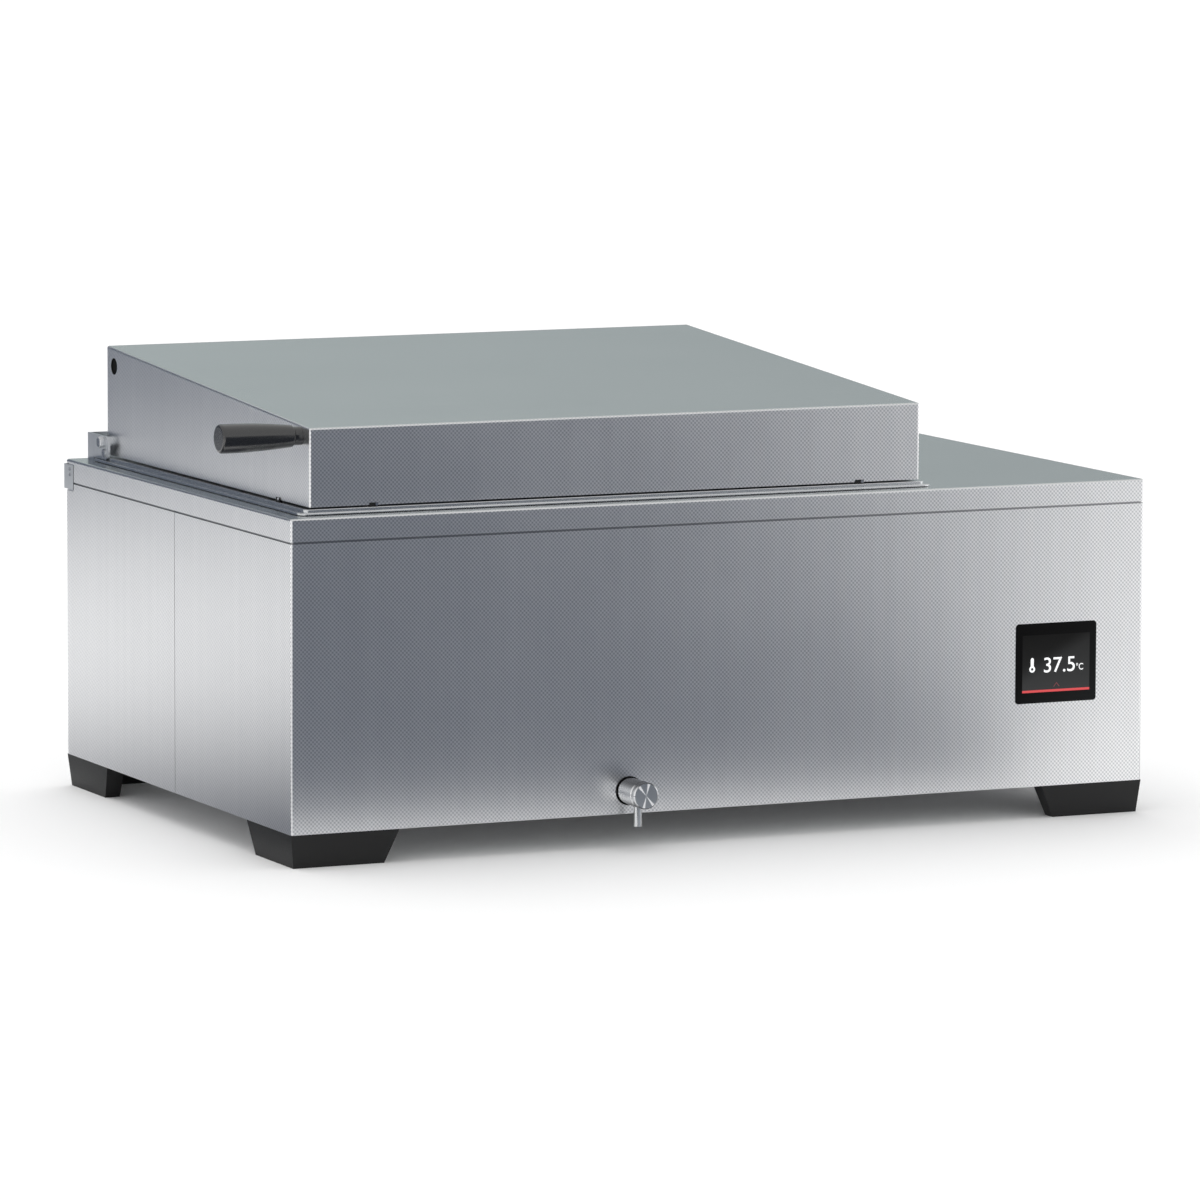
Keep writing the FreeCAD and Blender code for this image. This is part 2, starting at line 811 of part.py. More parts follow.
def make_foot(name, x, y, turn):
    foot = body(name, x, y, 0, Rotation(Vector(0, 0, 1), turn))
    leg = s.foot_leg
    slanted = leg - s.foot_end_slant
    profile = [(zero, zero), (slanted, zero), (leg, s.foot_height),
               (zero, s.foot_height)]
    add(foot, "XZ", zero, s.foot_thickness, outline(*profile))
    add(foot, "YZ", zero, s.foot_thickness, outline(*profile))
    wedge = [(-margin, zero), (s.foot_draft, zero), (zero, s.foot_height),
             (-margin, s.foot_height)]
    cut(foot, "XZ", -margin, leg + 2 * margin, outline(*wedge))
    cut(foot, "YZ", -margin, leg + 2 * margin, outline(*wedge))
    spots = ((s.foot_screw_reach, foot_reach), (foot_reach, s.foot_screw_reach))
    cut(foot, "XY", s.foot_height / 2, s.foot_height, *[disc(a, b, screw_hole) for a, b in spots])


def make_feet():
    far_x = left + s.housing_width
    far_y = front + housing_depth
    make_foot("foot_front_left", left, front, 0)
    make_foot("foot_front_right", far_x, front, 90)
    make_foot("foot_rear_right", far_x, far_y, 180)
    make_foot("foot_rear_left", left, far_y, 270)


# A pan-head screw as a half section, its head's underside at height zero
def pan_screw(owner, radius, length, head_radius, head_height):
    dome = s.pan_head_dome
    return turned(owner, (zero, -length), (radius, -length), (radius, zero),
                  (head_radius, zero), (head_radius, head_height - dome), (head_radius - dome, head_height),
                  (zero, head_height))


def make_base_screws():
    upside_down = Rotation(Vector(1, 0, 0), 180)
    y_front = front + s.base_screw_inset
    screws = body("base_screws", left + s.base_screw_spot, y_front, shell_bottom, upside_down)
    screw = pan_screw(screws, s.base_screw_radius, 4 * s.sheet, s.pan_head_radius, s.pan_head_height)
    rows = screws.newObject("PartDesign::MultiTransform", "MultiTransform")
    rows.Originals = [screw]
    along = step(screws, "X", s.base_screw_pitch, base_screw_count)
    across = step(screws, "Y", housing_depth - 2 * s.base_screw_inset, 2)
    across.Reversed = True
    rows.Transformations = [along, across]
    screws.Tip = rows
    doc.recompute()


def make_foot_screws():
    screws = body("foot_screws")
    for x, y in foot_screw_spots:
        add(screws, "XY", pan_top, s.pan_head_height, disc(x, y, s.pan_head_radius))
        add(screws, "XY", s.foot_height / 2, pan_top - s.foot_height / 2, disc(x, y, s.base_screw_radius))


# Tank and rim

def make_tank():
    tank = body("tank")
    wall = s.tank_wall
    flange_low = deck + s.gasket
    add(tank, "XY", s.tank_floor - wall, flange_low + s.rim_rise - s.tank_floor + wall,
        rounded(tank_left - wall, tank_front - wall, tank_right + wall, tank_back + wall,
                s.tank_corner + wall))
    add(tank, "XY", flange_low, s.rim_rise,
        rounded(rim_left, rim_front_edge, rim_right, rim_back_edge, s.rim_round))
    cut(tank, "XY", s.tank_floor, rim_top - s.tank_floor + margin,
        rounded(tank_left, tank_front, tank_right, tank_back, s.tank_corner))
    fillet(tank, s.tank_floor_round, lambda box: lies(box, s.tank_floor))
    fillet(tank, s.tank_floor_round + wall, lambda box: lies(box, s.tank_floor - wall))
    inside = tank_left.number - tiny
    fillet(tank, s.tank_lip_round, lambda box: lies(box, rim_top) and box.XMin > inside)
    cut(tank, "XY", s.tank_floor - wall - margin, wall + 2 * margin, disc(bath_center, drain_y, drain_hole))
    cut(tank, "YZ", tank_right - margin, wall + 2 * margin,
        *[disc(y, sensor_z, s.sensor_radius + s.thread_play) for y in sensor_rows])


def ring(owner, low, height, outer, inner, inner_radius):
    add(owner, "XY", low, height, rounded(*outer))
    cut(owner, "XY", low - margin, height + 2 * margin, rounded(*inner, inner_radius))


def make_rim_gasket():
    gasket = body("rim_gasket")
    inset = s.gasket_inset
    wall = s.tank_wall + s.thread_play
    ring(gasket, deck, s.gasket,
         (rim_left + inset, rim_front_edge + inset, rim_right - inset, rim_back_edge - inset,
          s.rim_round - inset),
         (tank_left - wall, tank_front - wall, tank_right + wall, tank_back + wall), s.tank_corner + wall)


def make_seat_frame():
    frame = body("seat_frame")
    x0 = rim_left + s.seat_side_step
    x1 = rim_right - s.seat_side_step
    y0 = rim_front_edge + s.seat_front_step
    y1 = rim_back_edge - s.seat_back_step
    band = s.seat_band
    ring(frame, rim_top, s.seat_rise, (x0, y0, x1, y1, s.rim_round - s.seat_front_step),
         (x0 + band, y0 + band, x1 - band, y1 - band), s.rim_round)
    fillet(frame, s.seat_lip_round, lambda box: lies(box, seat_top))


# Lid: one folded hood with a sloping top, open below

def lid_profile(inset):
    low = lid_bottom
    roof_front = lid_bottom + s.lid_front_wall - inset
    roof_back = lid_bottom + s.lid_back_wall - inset
    if number_of(inset) > 0:
        return outline((lid_front + inset, low - margin), (lid_back - inset, low - margin),
                       (lid_back - inset, roof_back), (lid_front + inset, roof_front))
    return outline((lid_front, low), (lid_back - s.lid_relief_run, low),
                   (lid_back, low + s.lid_back_relief), (lid_back, roof_back), (lid_front, roof_front))


def make_lid_shell():
    lid = body("lid_shell")
    wall = s.lid_sheet
    lid_width = lid_right - lid_left
    add(lid, "YZ", lid_left, lid_width, lid_profile(zero))
    fillet(lid, s.lid_edge_round, lambda box: is_lid_outer_edge(box))
    cut(lid, "YZ", lid_left + wall, lid_width - 2 * wall, lid_profile(wall))
    cut(lid, "YZ", lid_left - margin, lid_width + 2 * margin,
        disc(pivot_y, pivot_z, s.bolt_radius + s.thread_play))
    cut(lid, "YZ", lid_left - margin, wall + 2 * margin,
        disc(handle_y, handle_z, s.stud_radius + s.thread_play), disc(port_y, port_z, s.port_radius))


def is_lid_outer_edge(box):
    # Roof edges and the four upright corners
    upright = box.ZLength > s.lid_front_wall.number / 2 and box.YLength < tiny
    roof = box.ZMin > lid_bottom.number + s.lid_front_wall.number - tiny
    return upright or roof


def make_handle():
    inwards = Rotation(Vector(0, 1, 0), -90)
    place = (left + lid_left - s.collar_length, front + handle_y, handle_z, inwards)
    handle = body("lid_handle", *place)
    grip = s.handle_length - s.collar_length
    shoulder = grip - s.handle_end_round - s.handle_straight
    turned(handle, (zero, zero), (s.handle_root_radius, zero),
           (s.handle_radius, shoulder), (s.handle_radius, grip), (zero, grip),
           arcs={1: s.handle_bulge})
    fillet(handle, s.handle_end_round, lambda box: lies(box, grip))
    fillet(handle, s.handle_end_round / 2, lambda box: lies(box, zero))
    cut(handle, "XY", -margin, s.stud_grip + margin, disc(zero, zero, s.stud_radius + s.thread_play))

    collar = body("handle_collar", left + lid_left, front + handle_y, handle_z, inwards)
    add(collar, "XY", zero, s.collar_length, disc(zero, zero, s.collar_radius))
    cut(collar, "XY", -margin, s.collar_length + 2 * margin,
        disc(zero, zero, s.stud_radius + s.thread_play))
    chamfer(collar, s.collar_chamfer,
            lambda box: lies(box, s.collar_length) and box.XLength > s.collar_radius.number)

    stud = body("handle_stud", left + lid_left, front + handle_y, handle_z, inwards)
    tail = s.lid_sheet + s.nut_height + s.stud_tail
    add(stud, "XY", -tail, tail + s.collar_length + s.stud_grip - margin,
        disc(zero, zero, s.stud_radius))

    # A flanged nut, seated on the lid's inner face
    nut = body("handle_nut", left + lid_left + s.lid_sheet, front + handle_y, handle_z, along_x)
    flange = s.stud_nut_flange_height
    add(nut, "XY", zero, flange, disc(zero, zero, s.stud_nut_flange))
    add(nut, "XY", flange, s.nut_height - flange, hexagon(s.stud_nut_width))
    cut(nut, "XY", -margin, s.nut_height + 2 * margin, disc(zero, zero, s.stud_radius + s.thread_play))


def make_port_plug():
    plug = body("port_plug", left + lid_left, front + port_y, port_z, along_x)
    radius = s.port_radius
    wall = s.lid_sheet
    play = s.thread_play
    dish = s.plug_dish
    turned(plug, (zero, dish), (radius - wall, dish), (radius - play, zero), (radius - play, wall),
           (radius + s.plug_lip, wall), (radius + wall, wall * 2), (zero, wall * 2))


def make_lid_buffers():
    low = seat_top + s.buffer_rest_gap
    high = lid_bottom + s.buffer_rise
    skin = s.buffer_skin
    depth = 2 * skin + s.lid_sheet
    half = s.buffer_length / 2
    buffers = body("lid_buffers")
    rivets = body("buffer_rivets")
    dot = s.buffer_rivet
    rise = s.buffer_rivet_rise
    dot_z = (low + high) / 2 + rise / 2
    for x in both_hands(lid_left + s.buffer_from_corner):
        y = lid_front
        add(buffers, "XY", low, high - low, rectangle(x - half, y - skin, x + half, y - skin + depth))
        cut(buffers, "XY", lid_bottom, s.buffer_rise + margin,
            rectangle(x - half - margin, y, x + half + margin, y + s.lid_sheet))
        add(rivets, "XZ", y - skin - rise, rise, disc(x + half - s.buffer_rivet_inset, dot_z, dot))
    for edge, inward in ((lid_left, 1), (lid_right, -1)):
        y = lid_front + s.buffer_side_spot
        x0 = edge - inward * skin
        x1 = x0 + inward * depth
        low_x, high_x = (x0, x1) if inward > 0 else (x1, x0)
        wall_x = edge if inward > 0 else edge - s.lid_sheet
        add(buffers, "XY", low, high - low, rectangle(low_x, y - half, high_x, y + half))
        cut(buffers, "XY", lid_bottom, s.buffer_rise + margin,
            rectangle(wall_x, y - half - margin, wall_x + s.lid_sheet, y + half + margin))
        rivet_start = edge - skin - rise if inward > 0 else edge + skin
        add(rivets, "YZ", rivet_start, rise, disc(y - half + s.buffer_rivet_inset, dot_z, dot))


# Hinges

ear_low = rim_top + s.running_gap * 3
ear_top = pivot_z + s.ear_crest
ear_nose_y = pivot_y - s.ear_nose
ear_screw_y = pivot_y - s.bolt_radius
ear_screw_z = seat_top + s.ear_screw_head + s.running_gap


def make_hinge_brackets():
    bracket = body("hinge_bracket_left")
    thick = s.hinge_sheet
    add(bracket, "YZ", ear_face, thick,
        outline((ear_nose_y, ear_low), (bracket_front, ear_low), (bracket_front, deck), (bracket_back, deck),
                (bracket_back, ear_top), (ear_nose_y, ear_top)))
    fillet(bracket, s.ear_round, lambda box: box.XLength > margin and near(box.YMin, ear_nose_y)
           and box.YLength < tiny and box.ZLength < tiny)
    add(bracket, "XZ", bracket_back - thick, thick,
        rectangle(ear_face + thick / 2, deck, ear_face + s.bracket_width, ear_top))
    add(bracket, "XY", deck, thick,
        rectangle(ear_face + thick / 2, bracket_front, ear_face + s.bracket_width, bracket_back - thick / 2))
    cut(bracket, "YZ", ear_face - margin, thick + 2 * margin,
        disc(pivot_y, pivot_z, s.bolt_radius + s.turning_play),
        disc(ear_screw_y, ear_screw_z, s.bracket_screw_radius + s.thread_play))
    cut(bracket, "XY", deck - margin, thick + 2 * margin,
        *[disc(x, y, s.bracket_screw_radius + s.thread_play) for x, y in bracket_screw_spots[::2]])
    mirrored("hinge_bracket_right", bracket, left + bath_center)

    screws = body("hinge_bracket_screws")
    for x, y in bracket_screw_spots:
        add(screws, "XY", deck + thick, s.bracket_screw_rise, disc(x, y, s.bracket_screw_head))
        add(screws, "XY", deck - 3 * s.sheet, thick + 3 * s.sheet, disc(x, y, s.bracket_screw_radius))

    ear_screws = body("ear_screws")
    radius = s.bracket_screw_radius
    head = s.ear_screw_rise
    for side, start in ((1, ear_face), (-1, 2 * bath_center - ear_face)):
        outside = start - head if side > 0 else start
        shank = start if side > 0 else start - thick - head
        nut = start + thick if side > 0 else start - thick - head
        add(ear_screws, "YZ", outside, head, disc(ear_screw_y, ear_screw_z, s.ear_screw_head))
        add(ear_screws, "YZ", shank, thick + head, disc(ear_screw_y, ear_screw_z, radius))
        add(ear_screws, "YZ", nut, head, disc(ear_screw_y, ear_screw_z, s.ear_screw_nut))


def make_hinge_bolts():
    bolt = body("hinge_bolt_left", left + ear_face - s.running_gap, front + pivot_y, pivot_z, along_x)
    shank = s.running_gap + s.hinge_sheet + s.spacer_length + s.lid_sheet + s.nut_height + s.bolt_tail
    add(bolt, "XY", -s.bolt_head_height, s.bolt_head_height, hexagon(s.bolt_head_width))
    chamfer(bolt, s.bolt_chamfer, lambda box: lies(box, -s.bolt_head_height))
    add(bolt, "XY", zero, shank, disc(zero, zero, s.bolt_radius))
    mirrored("hinge_bolt_right", bolt, left + bath_center)

    half = (lid_right - lid_left) / 2
    length = s.spacer_length - s.running_gap
    spacers = body("hinge_spacers", left + bath_center, front + pivot_y, pivot_z)
    tube = add(spacers, "YZ", -half - length, length, disc(zero, zero, s.spacer_radius))
    bore = cut(spacers, "YZ", -half - length - margin, length + 2 * margin,
               disc(zero, zero, s.bolt_radius + s.thread_play))
    doubled(spacers, tube, bore)

    start = s.lid_sheet - half
    nuts = body("hinge_nuts", left + bath_center, front + pivot_y, pivot_z)
    block = add(nuts, "YZ", start, s.nut_height, hexagon(s.bolt_head_width))
    bore = cut(nuts, "YZ", start - margin, s.nut_height + 2 * margin,
               disc(zero, zero, s.bolt_radius + s.thread_play))
    doubled(nuts, block, bore)


# Drain: fitting in the tank floor, bent pipe, and the tap on the front

drain_hole = s.drain_body + s.thread_play


def make_drain_fitting():
    fitting = body("drain_fitting", left + bath_center, front + drain_y, s.tank_floor)
    lip = s.tank_wall * 2
    tail = -s.drain_length
    turned(fitting, (s.tap_bore, tail), (s.drain_body, tail), (s.drain_body, zero), (s.drain_flange, zero),
           (s.drain_flange - lip / 2, lip), (s.tap_bore + lip, lip), (s.tap_bore, -lip))


def make_drain_pipe():
    pipe = body("drain_pipe", left + bath_center)
    spine = sketch_at(pipe, "YZ", zero)
    start_y = s.tap_neck_length
    bend = s.pipe_bend
    top = s.tank_floor - s.drain_length
    low_end = Vector(drain_y.number - bend.number, s.tap_height.number, 0)
    center = Vector(low_end.x, s.tap_height.number + bend.number, 0)
    high_end = Vector(drain_y.number, center.y, 0)
    spine.addGeometry(Part.LineSegment(Vector(start_y.number, s.tap_height.number, 0), low_end), False)
    circle = Part.Circle(center, Vector(0, 0, 1), bend.number)
    spine.addGeometry(Part.ArcOfCircle(circle, -math.pi / 2, 0), False)
    spine.addGeometry(Part.LineSegment(high_end, Vector(drain_y.number, top.number, 0)), False)
    spine.addConstraint(Sketcher.Constraint("Tangent", 0, 2, 1, 1))
    spine.addConstraint(Sketcher.Constraint("Tangent", 1, 2, 2, 1))
    spine.addConstraint(Sketcher.Constraint("Horizontal", 0))
    spine.addConstraint(Sketcher.Constraint("Vertical", 2))
    hold(spine, "DistanceX", -1, 1, 0, 1, start_y)
    hold(spine, "DistanceY", -1, 1, 0, 1, s.tap_height)
    hold(spine, "Radius", 1, bend)
    hold(spine, "DistanceX", -1, 1, 2, 2, drain_y)
    hold(spine, "DistanceY", -1, 1, 2, 2, top)
    section = sketch_at(pipe, "XZ", start_y)
    disc(zero, s.tap_height, s.tap_bore + s.pipe_wall)(section)
    disc(zero, s.tap_height, s.tap_bore)(section)
    run = pipe.newObject("PartDesign::AdditivePipe", "Pipe")
    run.Profile = section
    run.Spine = (spine, ["Edge1", "Edge2", "Edge3"])
    doc.recompute()


def make_tap():
    place = (left + bath_center, front, s.tap_height, outwards)
    valve = body("valve_body", *place)
    radius = s.tap_radius
    body_end = s.tap_reach - s.knob_thickness - s.knob_gap - s.knob_groove
    groove_end = body_end + s.knob_groove
    groove = radius - s.knob_groove_depth
    edge = s.knob_chamfer
    turned(valve, (s.tap_bore, -s.tap_neck_length), (s.tap_neck, -s.tap_neck_length), (s.tap_neck, s.tap_seal),
           (radius, s.tap_seal), (radius, body_end - edge), (radius - edge, body_end), (groove, body_end),
           (groove, groove_end), (s.spindle_radius + s.turning_play, groove_end),
           (s.spindle_radius + s.turning_play, groove_end - s.spindle_length - margin),
           (s.tap_bore, groove_end - s.spindle_length - margin))
    cut(valve, "XZ", -radius - margin, margin + radius - s.spindle_radius - edge,
        disc(zero, s.spout_from_face, s.spout_radius - edge / 2 + s.thread_play))

    seal = body("valve_seal", *place)
    turned(seal, (s.tap_neck + s.thread_play, zero), (radius + edge / 2, zero), (radius + edge, s.tap_seal / 2),
           (radius + edge / 2, s.tap_seal), (s.tap_neck + s.thread_play, s.tap_seal))

    nut = body("valve_nut", left + bath_center, front + s.sheet, s.tap_height, backwards)
    add(nut, "XY", zero, s.tap_nut_height, hexagon(s.tap_nut_width))
    cut(nut, "XY", -margin, s.tap_nut_height + 2 * margin, disc(zero, zero, s.tap_neck + s.thread_play))

    spout = body("drain_spout", left + bath_center, front - s.spout_from_face, s.spout_bottom)
    spout_top = s.tap_height - s.spout_bottom - s.spindle_radius - edge
    shoulder = s.tap_height - s.spout_bottom - radius
    tail = s.spout_radius - edge / 2
    turned(spout, (s.spout_bore, zero), (tail, zero), (s.spout_radius, edge / 2),
           (s.spout_radius, shoulder), (tail, shoulder), (tail, spout_top), (s.spout_bore, spout_top))

    knob = body("drain_knob", *place)
    knob_start = s.tap_reach - s.knob_thickness
    spindle_end = knob_start - s.knob_gap - s.spindle_length
    turned(knob, (zero, spindle_end), (s.spindle_radius, spindle_end), (s.spindle_radius, knob_start), (radius - edge, knob_start), (radius, knob_start + edge),
           (radius, s.tap_reach - edge), (radius - edge, s.tap_reach), (zero, s.tap_reach))


# Heating, sensing and insulation round the tank

def make_sensors():
    sensors = body("temperature_sensors")
    wall_face = tank_right + s.tank_wall
    reach = s.tank_wall + s.sensor_reach
    add(sensors, "YZ", wall_face - reach, reach + s.sensor_tail,
        *[disc(y, sensor_z, s.sensor_radius) for y in sensor_rows])
    add(sensors, "YZ", wall_face, s.sensor_nut_height,
        *[disc(y, sensor_z, s.sensor_nut) for y in sensor_rows])


def make_heaters():
    gap = s.heater_margin
    low = s.tank_floor + gap / 2
    high = deck - gap
    outer = s.tank_wall + s.heater_thickness
    round_ = s.tank_floor_round / 2
    for name, x in (("heater_pad_left", tank_left - outer), ("heater_pad_right", tank_right + s.tank_wall)):
        pad = body(name)
        add(pad, "YZ", x, s.heater_thickness, rounded(tank_front + gap, low, tank_back - 2 * gap, high, round_))
    pad = body("heater_pad_bottom")
    add(pad, "XY", s.tank_floor - outer, s.heater_thickness,
        rounded(tank_left + gap, drain_y + gap, tank_right - gap, tank_back - gap, round_))


def make_insulation():
    low = shell_bottom + s.insulation_floor
    high = deck - s.insulation_drop
    clear = 2 * s.sheet + s.insulation_play
    front_face = tank_front - s.tank_wall
    back_face = tank_back + s.tank_wall
    pad_left = tank_left - s.tank_wall - s.heater_thickness
    slab = body("insulation_front")
    add(slab, "XY", low, high - low, rectangle(tank_left, clear, tank_right, front_face))
    slab = body("insulation_back")
    add(slab, "XY", low, high - low, rectangle(tank_left, back_face, tank_right, housing_depth - clear))
    slab = body("insulation_left")
    add(slab, "XY", low, high - low, rectangle(clear, front_face, pad_left, back_face))
    slab = body("insulation_right")
    add(slab, "XY", low, high - low,
        rectangle(pad_right, front_face, bay_left, sensor_rows[0] - s.sensor_tail))
    slab = body("insulation_bottom")
    top = s.tank_floor - s.tank_wall - s.heater_thickness
    add(slab, "XY", top - s.bottom_insulation, s.bottom_insulation,
        rectangle(tank_left + s.heater_margin, drain_y + s.heater_margin, tank_right - s.heater_margin,
                  tank_back - s.heater_margin))


# Electronics bay on the right

def make_partition_wall():
    wall = body("partition_wall")
    clear = 2 * s.sheet + s.running_gap
    high = deck - s.insulation_drop
    add(wall, "YZ", bay_left, s.sheet, rectangle(clear, pan_top, housing_depth - clear, high))
    add(wall, "XY", pan_top, s.sheet,
        rectangle(bay_left + s.sheet / 2, clear, bay_left + s.bay_foot, housing_depth - clear))
    cut(wall, "YZ", bay_left - margin, s.sheet + 2 * margin,
        *[disc(y, deck - s.grommet_inset, s.grommet) for y in both_ends(s.grommet_inset, housing_depth)],
        *[disc(y, sensor_z, s.sensor_nut + s.insulation_play) for y in sensor_rows])


def make_display():
    x0 = display_left
    x1 = x0 + s.display_width
    z0 = shell_bottom + s.display_bottom
    z1 = z0 + s.display_height
    glass = body("display_glass")
    add(glass, "XZ", -s.display_proud, s.display_glass, rounded(x0, z0, x1, z1, s.display_round))
    glass_back = s.display_glass - s.display_proud

    frame = body("display_frame")
    band = s.display_frame_band
    play = s.running_gap
    add(frame, "XZ", s.sheet, s.display_frame_depth, rounded(x0 - band, z0 - band, x1 + band, z1 + band, band))
    cut(frame, "XZ", s.sheet - margin, margin + glass_back - s.sheet,
        rounded(x0 - play, z0 - play, x1 + play, z1 + play, s.display_round))
    cut(frame, "XZ", zero, s.display_frame_depth + 2 * margin,
        rectangle(x0 + band, z0 + band, x1 - band, z1 - band))

    board = body("display_board")
    board_y = s.sheet + s.display_frame_depth
    add(board, "XZ", board_y, s.board_thickness, rounded(x0, z0, x1, z1, s.display_round))
    add(board, "XZ", board_y + s.board_thickness, band,
        rectangle(x0 + band, z0 + band, x0 + 3 * band, z0 + 2 * band),
        rectangle(x1 - 4 * band, z0 + 3 * band, x1 - 2 * band, z0 + 5 * band))


def make_power_board():
    board = body("power_board")
    y0 = housing_depth / 2 - s.power_board_length / 2
    y1 = y0 + s.power_board_length
    z0 = shell_bottom + s.power_board_rise
    z1 = z0 + s.power_board_height
    face = bay_left + s.sheet + s.standoff
    inset = s.standoff
    top = face + s.board_thickness
    add(board, "YZ", face, s.board_thickness, rectangle(y0, z0, y1, z1))
    add(board, "YZ", face - s.standoff, s.standoff,
        *[disc(y, z, s.standoff_radius) for y in (y0 + inset, y1 - inset) for z in (z0 + inset, z1 - inset)])
    can = s.can_radius
    cans = add(board, "YZ", top, s.can_height, disc(y0 + 4 * can, z0 + 3 * can, can))
    row(board, "Y", s.can_pitch, can_count, cans)
    side = s.choke_side
    add(board, "YZ", top, s.choke_height,
        rectangle(y1 - 2 * side, z0 + side / 2, y1 - side, z0 + side * 1.5),
        rectangle(y0 + side, z1 - side, y0 + 2 * side, z1 - side / 2))


def make_transformer():
    block = body("transformer", left + bay_left + s.bay_device_room,
                 front + housing_depth / 2 + s.transformer_back, pan_top)
    width = s.transformer_width
    depth = s.transformer_depth
    height = s.transformer_height
    core = s.core_depth
    add(block, "XZ", (depth - core) / 2, core, rectangle(zero, zero, width, height))
    coil = s.coil_inset
    add(block, "XY", s.coil_rise, height - 2 * s.coil_rise, rounded(coil, zero, width - coil, depth, coil / 2))
    add(block, "XY", zero, s.transformer_foot, rectangle(-s.bay_foot, (depth - core) / 2, width + s.bay_foot, (depth + core) / 2))


def make_relay_block():
    relay = body("relay_block", left + bay_left + s.bay_device_room, front + s.sink_front, pan_top)
    width = s.sink_width
    depth = s.sink_depth
    add(relay, "XY", zero, s.sink_base, rectangle(zero, zero, width, depth))
    fin = add(relay, "XY", s.sink_base, s.fin_height, rectangle(zero, zero, s.fin_thickness, depth / 2))
    copies = int((width.number - s.fin_thickness.number) // s.fin_pitch.number) + 1
    row(relay, "X", s.fin_pitch, copies, fin)
    inset = (width - s.relay_width) / 2
    add(relay, "XY", s.sink_base, s.relay_height,
        rounded(inset, depth / 2 + s.fin_pitch / 2, inset + s.relay_width, depth - s.fin_pitch / 2,
                s.fin_thickness))


def make_terminal_block():
    strip = body("terminal_block", left + bay_left + s.bay_device_room,
                 front + housing_depth - s.terminal_back, pan_top)
    pitch = s.terminal_pitch
    depth = 2 * pitch
    screw_y = pitch / 2
    cell = add(strip, "XY", zero, s.terminal_height, rectangle(zero, zero, pitch, depth))
    screw = cut(strip, "XY", pitch, pitch,
                *[disc(screw_y, y, s.terminal_screw) for y in both_ends(screw_y, depth)])
    row(strip, "X", pitch, terminal_count, cell, screw)


def make_mains_inlet():
    inlet = body("mains_inlet", left + inlet_x, front + housing_depth, inlet_bottom)
    half = s.inlet_width / 2
    height = s.inlet_height
    flange = s.inlet_flange
    play = s.thread_play
    add(inlet, "XZ", -s.inlet_depth, s.inlet_depth, rectangle(-half + play, play, half - play, height - play))
    add(inlet, "XZ", zero, s.inlet_proud,
        rounded(-half - flange, -flange, half + flange, height + flange, flange / 2))
    mouth = half - flange
    corner = s.inlet_corner
    cut(inlet, "XZ", flange - s.inlet_depth, s.inlet_depth + margin,
        outline((-mouth, flange), (mouth, flange), (mouth, height - flange - corner),
                (mouth - corner, height - flange), (-mouth + corner, height - flange),
                (-mouth, height - flange - corner)))
    pin = s.inlet_pin / 2
    tall = s.inlet_pin_height
    pitch = s.inlet_pin_pitch
    add(inlet, "XZ", flange - s.inlet_depth, s.inlet_depth - 2 * flange,
        rectangle(-pitch - pin, height / 2 - tall / 2, -pitch + pin, height / 2 + tall / 2),
        rectangle(-pin, height / 2, pin, height / 2 + tall),
        rectangle(pitch - pin, height / 2 - tall / 2, pitch + pin, height / 2 + tall / 2))


def make_power_switch():
    middle_z = inlet_bottom + s.inlet_height / 2
    half_width = s.switch_width / 2
    half_height = s.switch_height / 2
    wall = s.switch_wall
    play = s.running_gap
    depth = s.switch_height
    housing = body("switch_housing", left + switch_x, front + housing_depth, middle_z)
    add(housing, "XZ", -depth, depth,
        rectangle(-half_width - wall + play, -half_height - wall + play,
                  half_width + wall - play, half_height + wall - play))
    add(housing, "XZ", zero, s.switch_proud,
        rounded(-half_width - 2 * wall, -half_height - 2 * wall, half_width + 2 * wall, half_height + 2 * wall, wall))
    cut(housing, "XZ", wall - depth, depth + 2 * margin,
        rectangle(-half_width, -half_height, half_width, half_height))

    # The rocker turns about the X axis through its middle, just behind the flange's face
    rocker = body("switch_rocker", left + switch_x, front + housing_depth + s.switch_proud / 2,
                  middle_z, Rotation(Vector(1, 0, 0), -s.rocker_throw.number))
    rocker.setExpression("Placement.Rotation.Angle", s.rocker_throw.text)
    reach = half_height - 4 * play
    crest = reach * math.sin(math.radians(s.rocker_throw.number))
    add(rocker, "YZ", -half_width + 2 * play, s.switch_width - 4 * play,
        outline((-reach * 0.25, -reach * 0.96), (crest, -reach * 0.96), (crest * 0.3, zero), (crest, reach * 0.96),
                (-reach * 0.25, reach * 0.96), (-reach * 0.7, zero)))


make_base_pan()
make_front_shell()
make_rear_shell()
make_top_cover()
make_corner_brackets()
make_feet()
make_base_screws()
make_foot_screws()
make_tank()
make_rim_gasket()
make_seat_frame()
make_lid_shell()
make_handle()
make_port_plug()
make_lid_buffers()
make_hinge_brackets()
make_hinge_bolts()
make_drain_fitting()
make_drain_pipe()
make_tap()
make_sensors()
make_heaters()
make_insulation()
make_partition_wall()
make_display()
make_power_board()
make_transformer()
make_relay_block()
make_terminal_block()
make_mains_inlet()
make_power_switch()

doc.recompute()
faults = []
for item in doc.Objects:
    if "Invalid" in item.State or "Error" in item.State:
        faults.append("%s failed" % item.FullName)
    elif item.TypeId == "PartDesign::Pocket" and item.BaseFeature.Shape.Volume - item.Shape.Volume < tiny:
        faults.append("%s cuts nothing" % item.FullName)
for part in parts:
    if part.Shape.isNull() or not part.Shape.isValid():
        faults.append("%s has no valid shape" % part.Label)
if faults:
    raise RuntimeError("\n".join(faults))
for part in parts:
    part.Shape.exportStep("parts/%s.step" % part.Label)
print("wrote", len(parts), "parts")
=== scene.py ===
# Laboratory water bath: finishes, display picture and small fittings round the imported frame
import json
import math

import bmesh
import bpy
from mathutils import Matrix, Vector


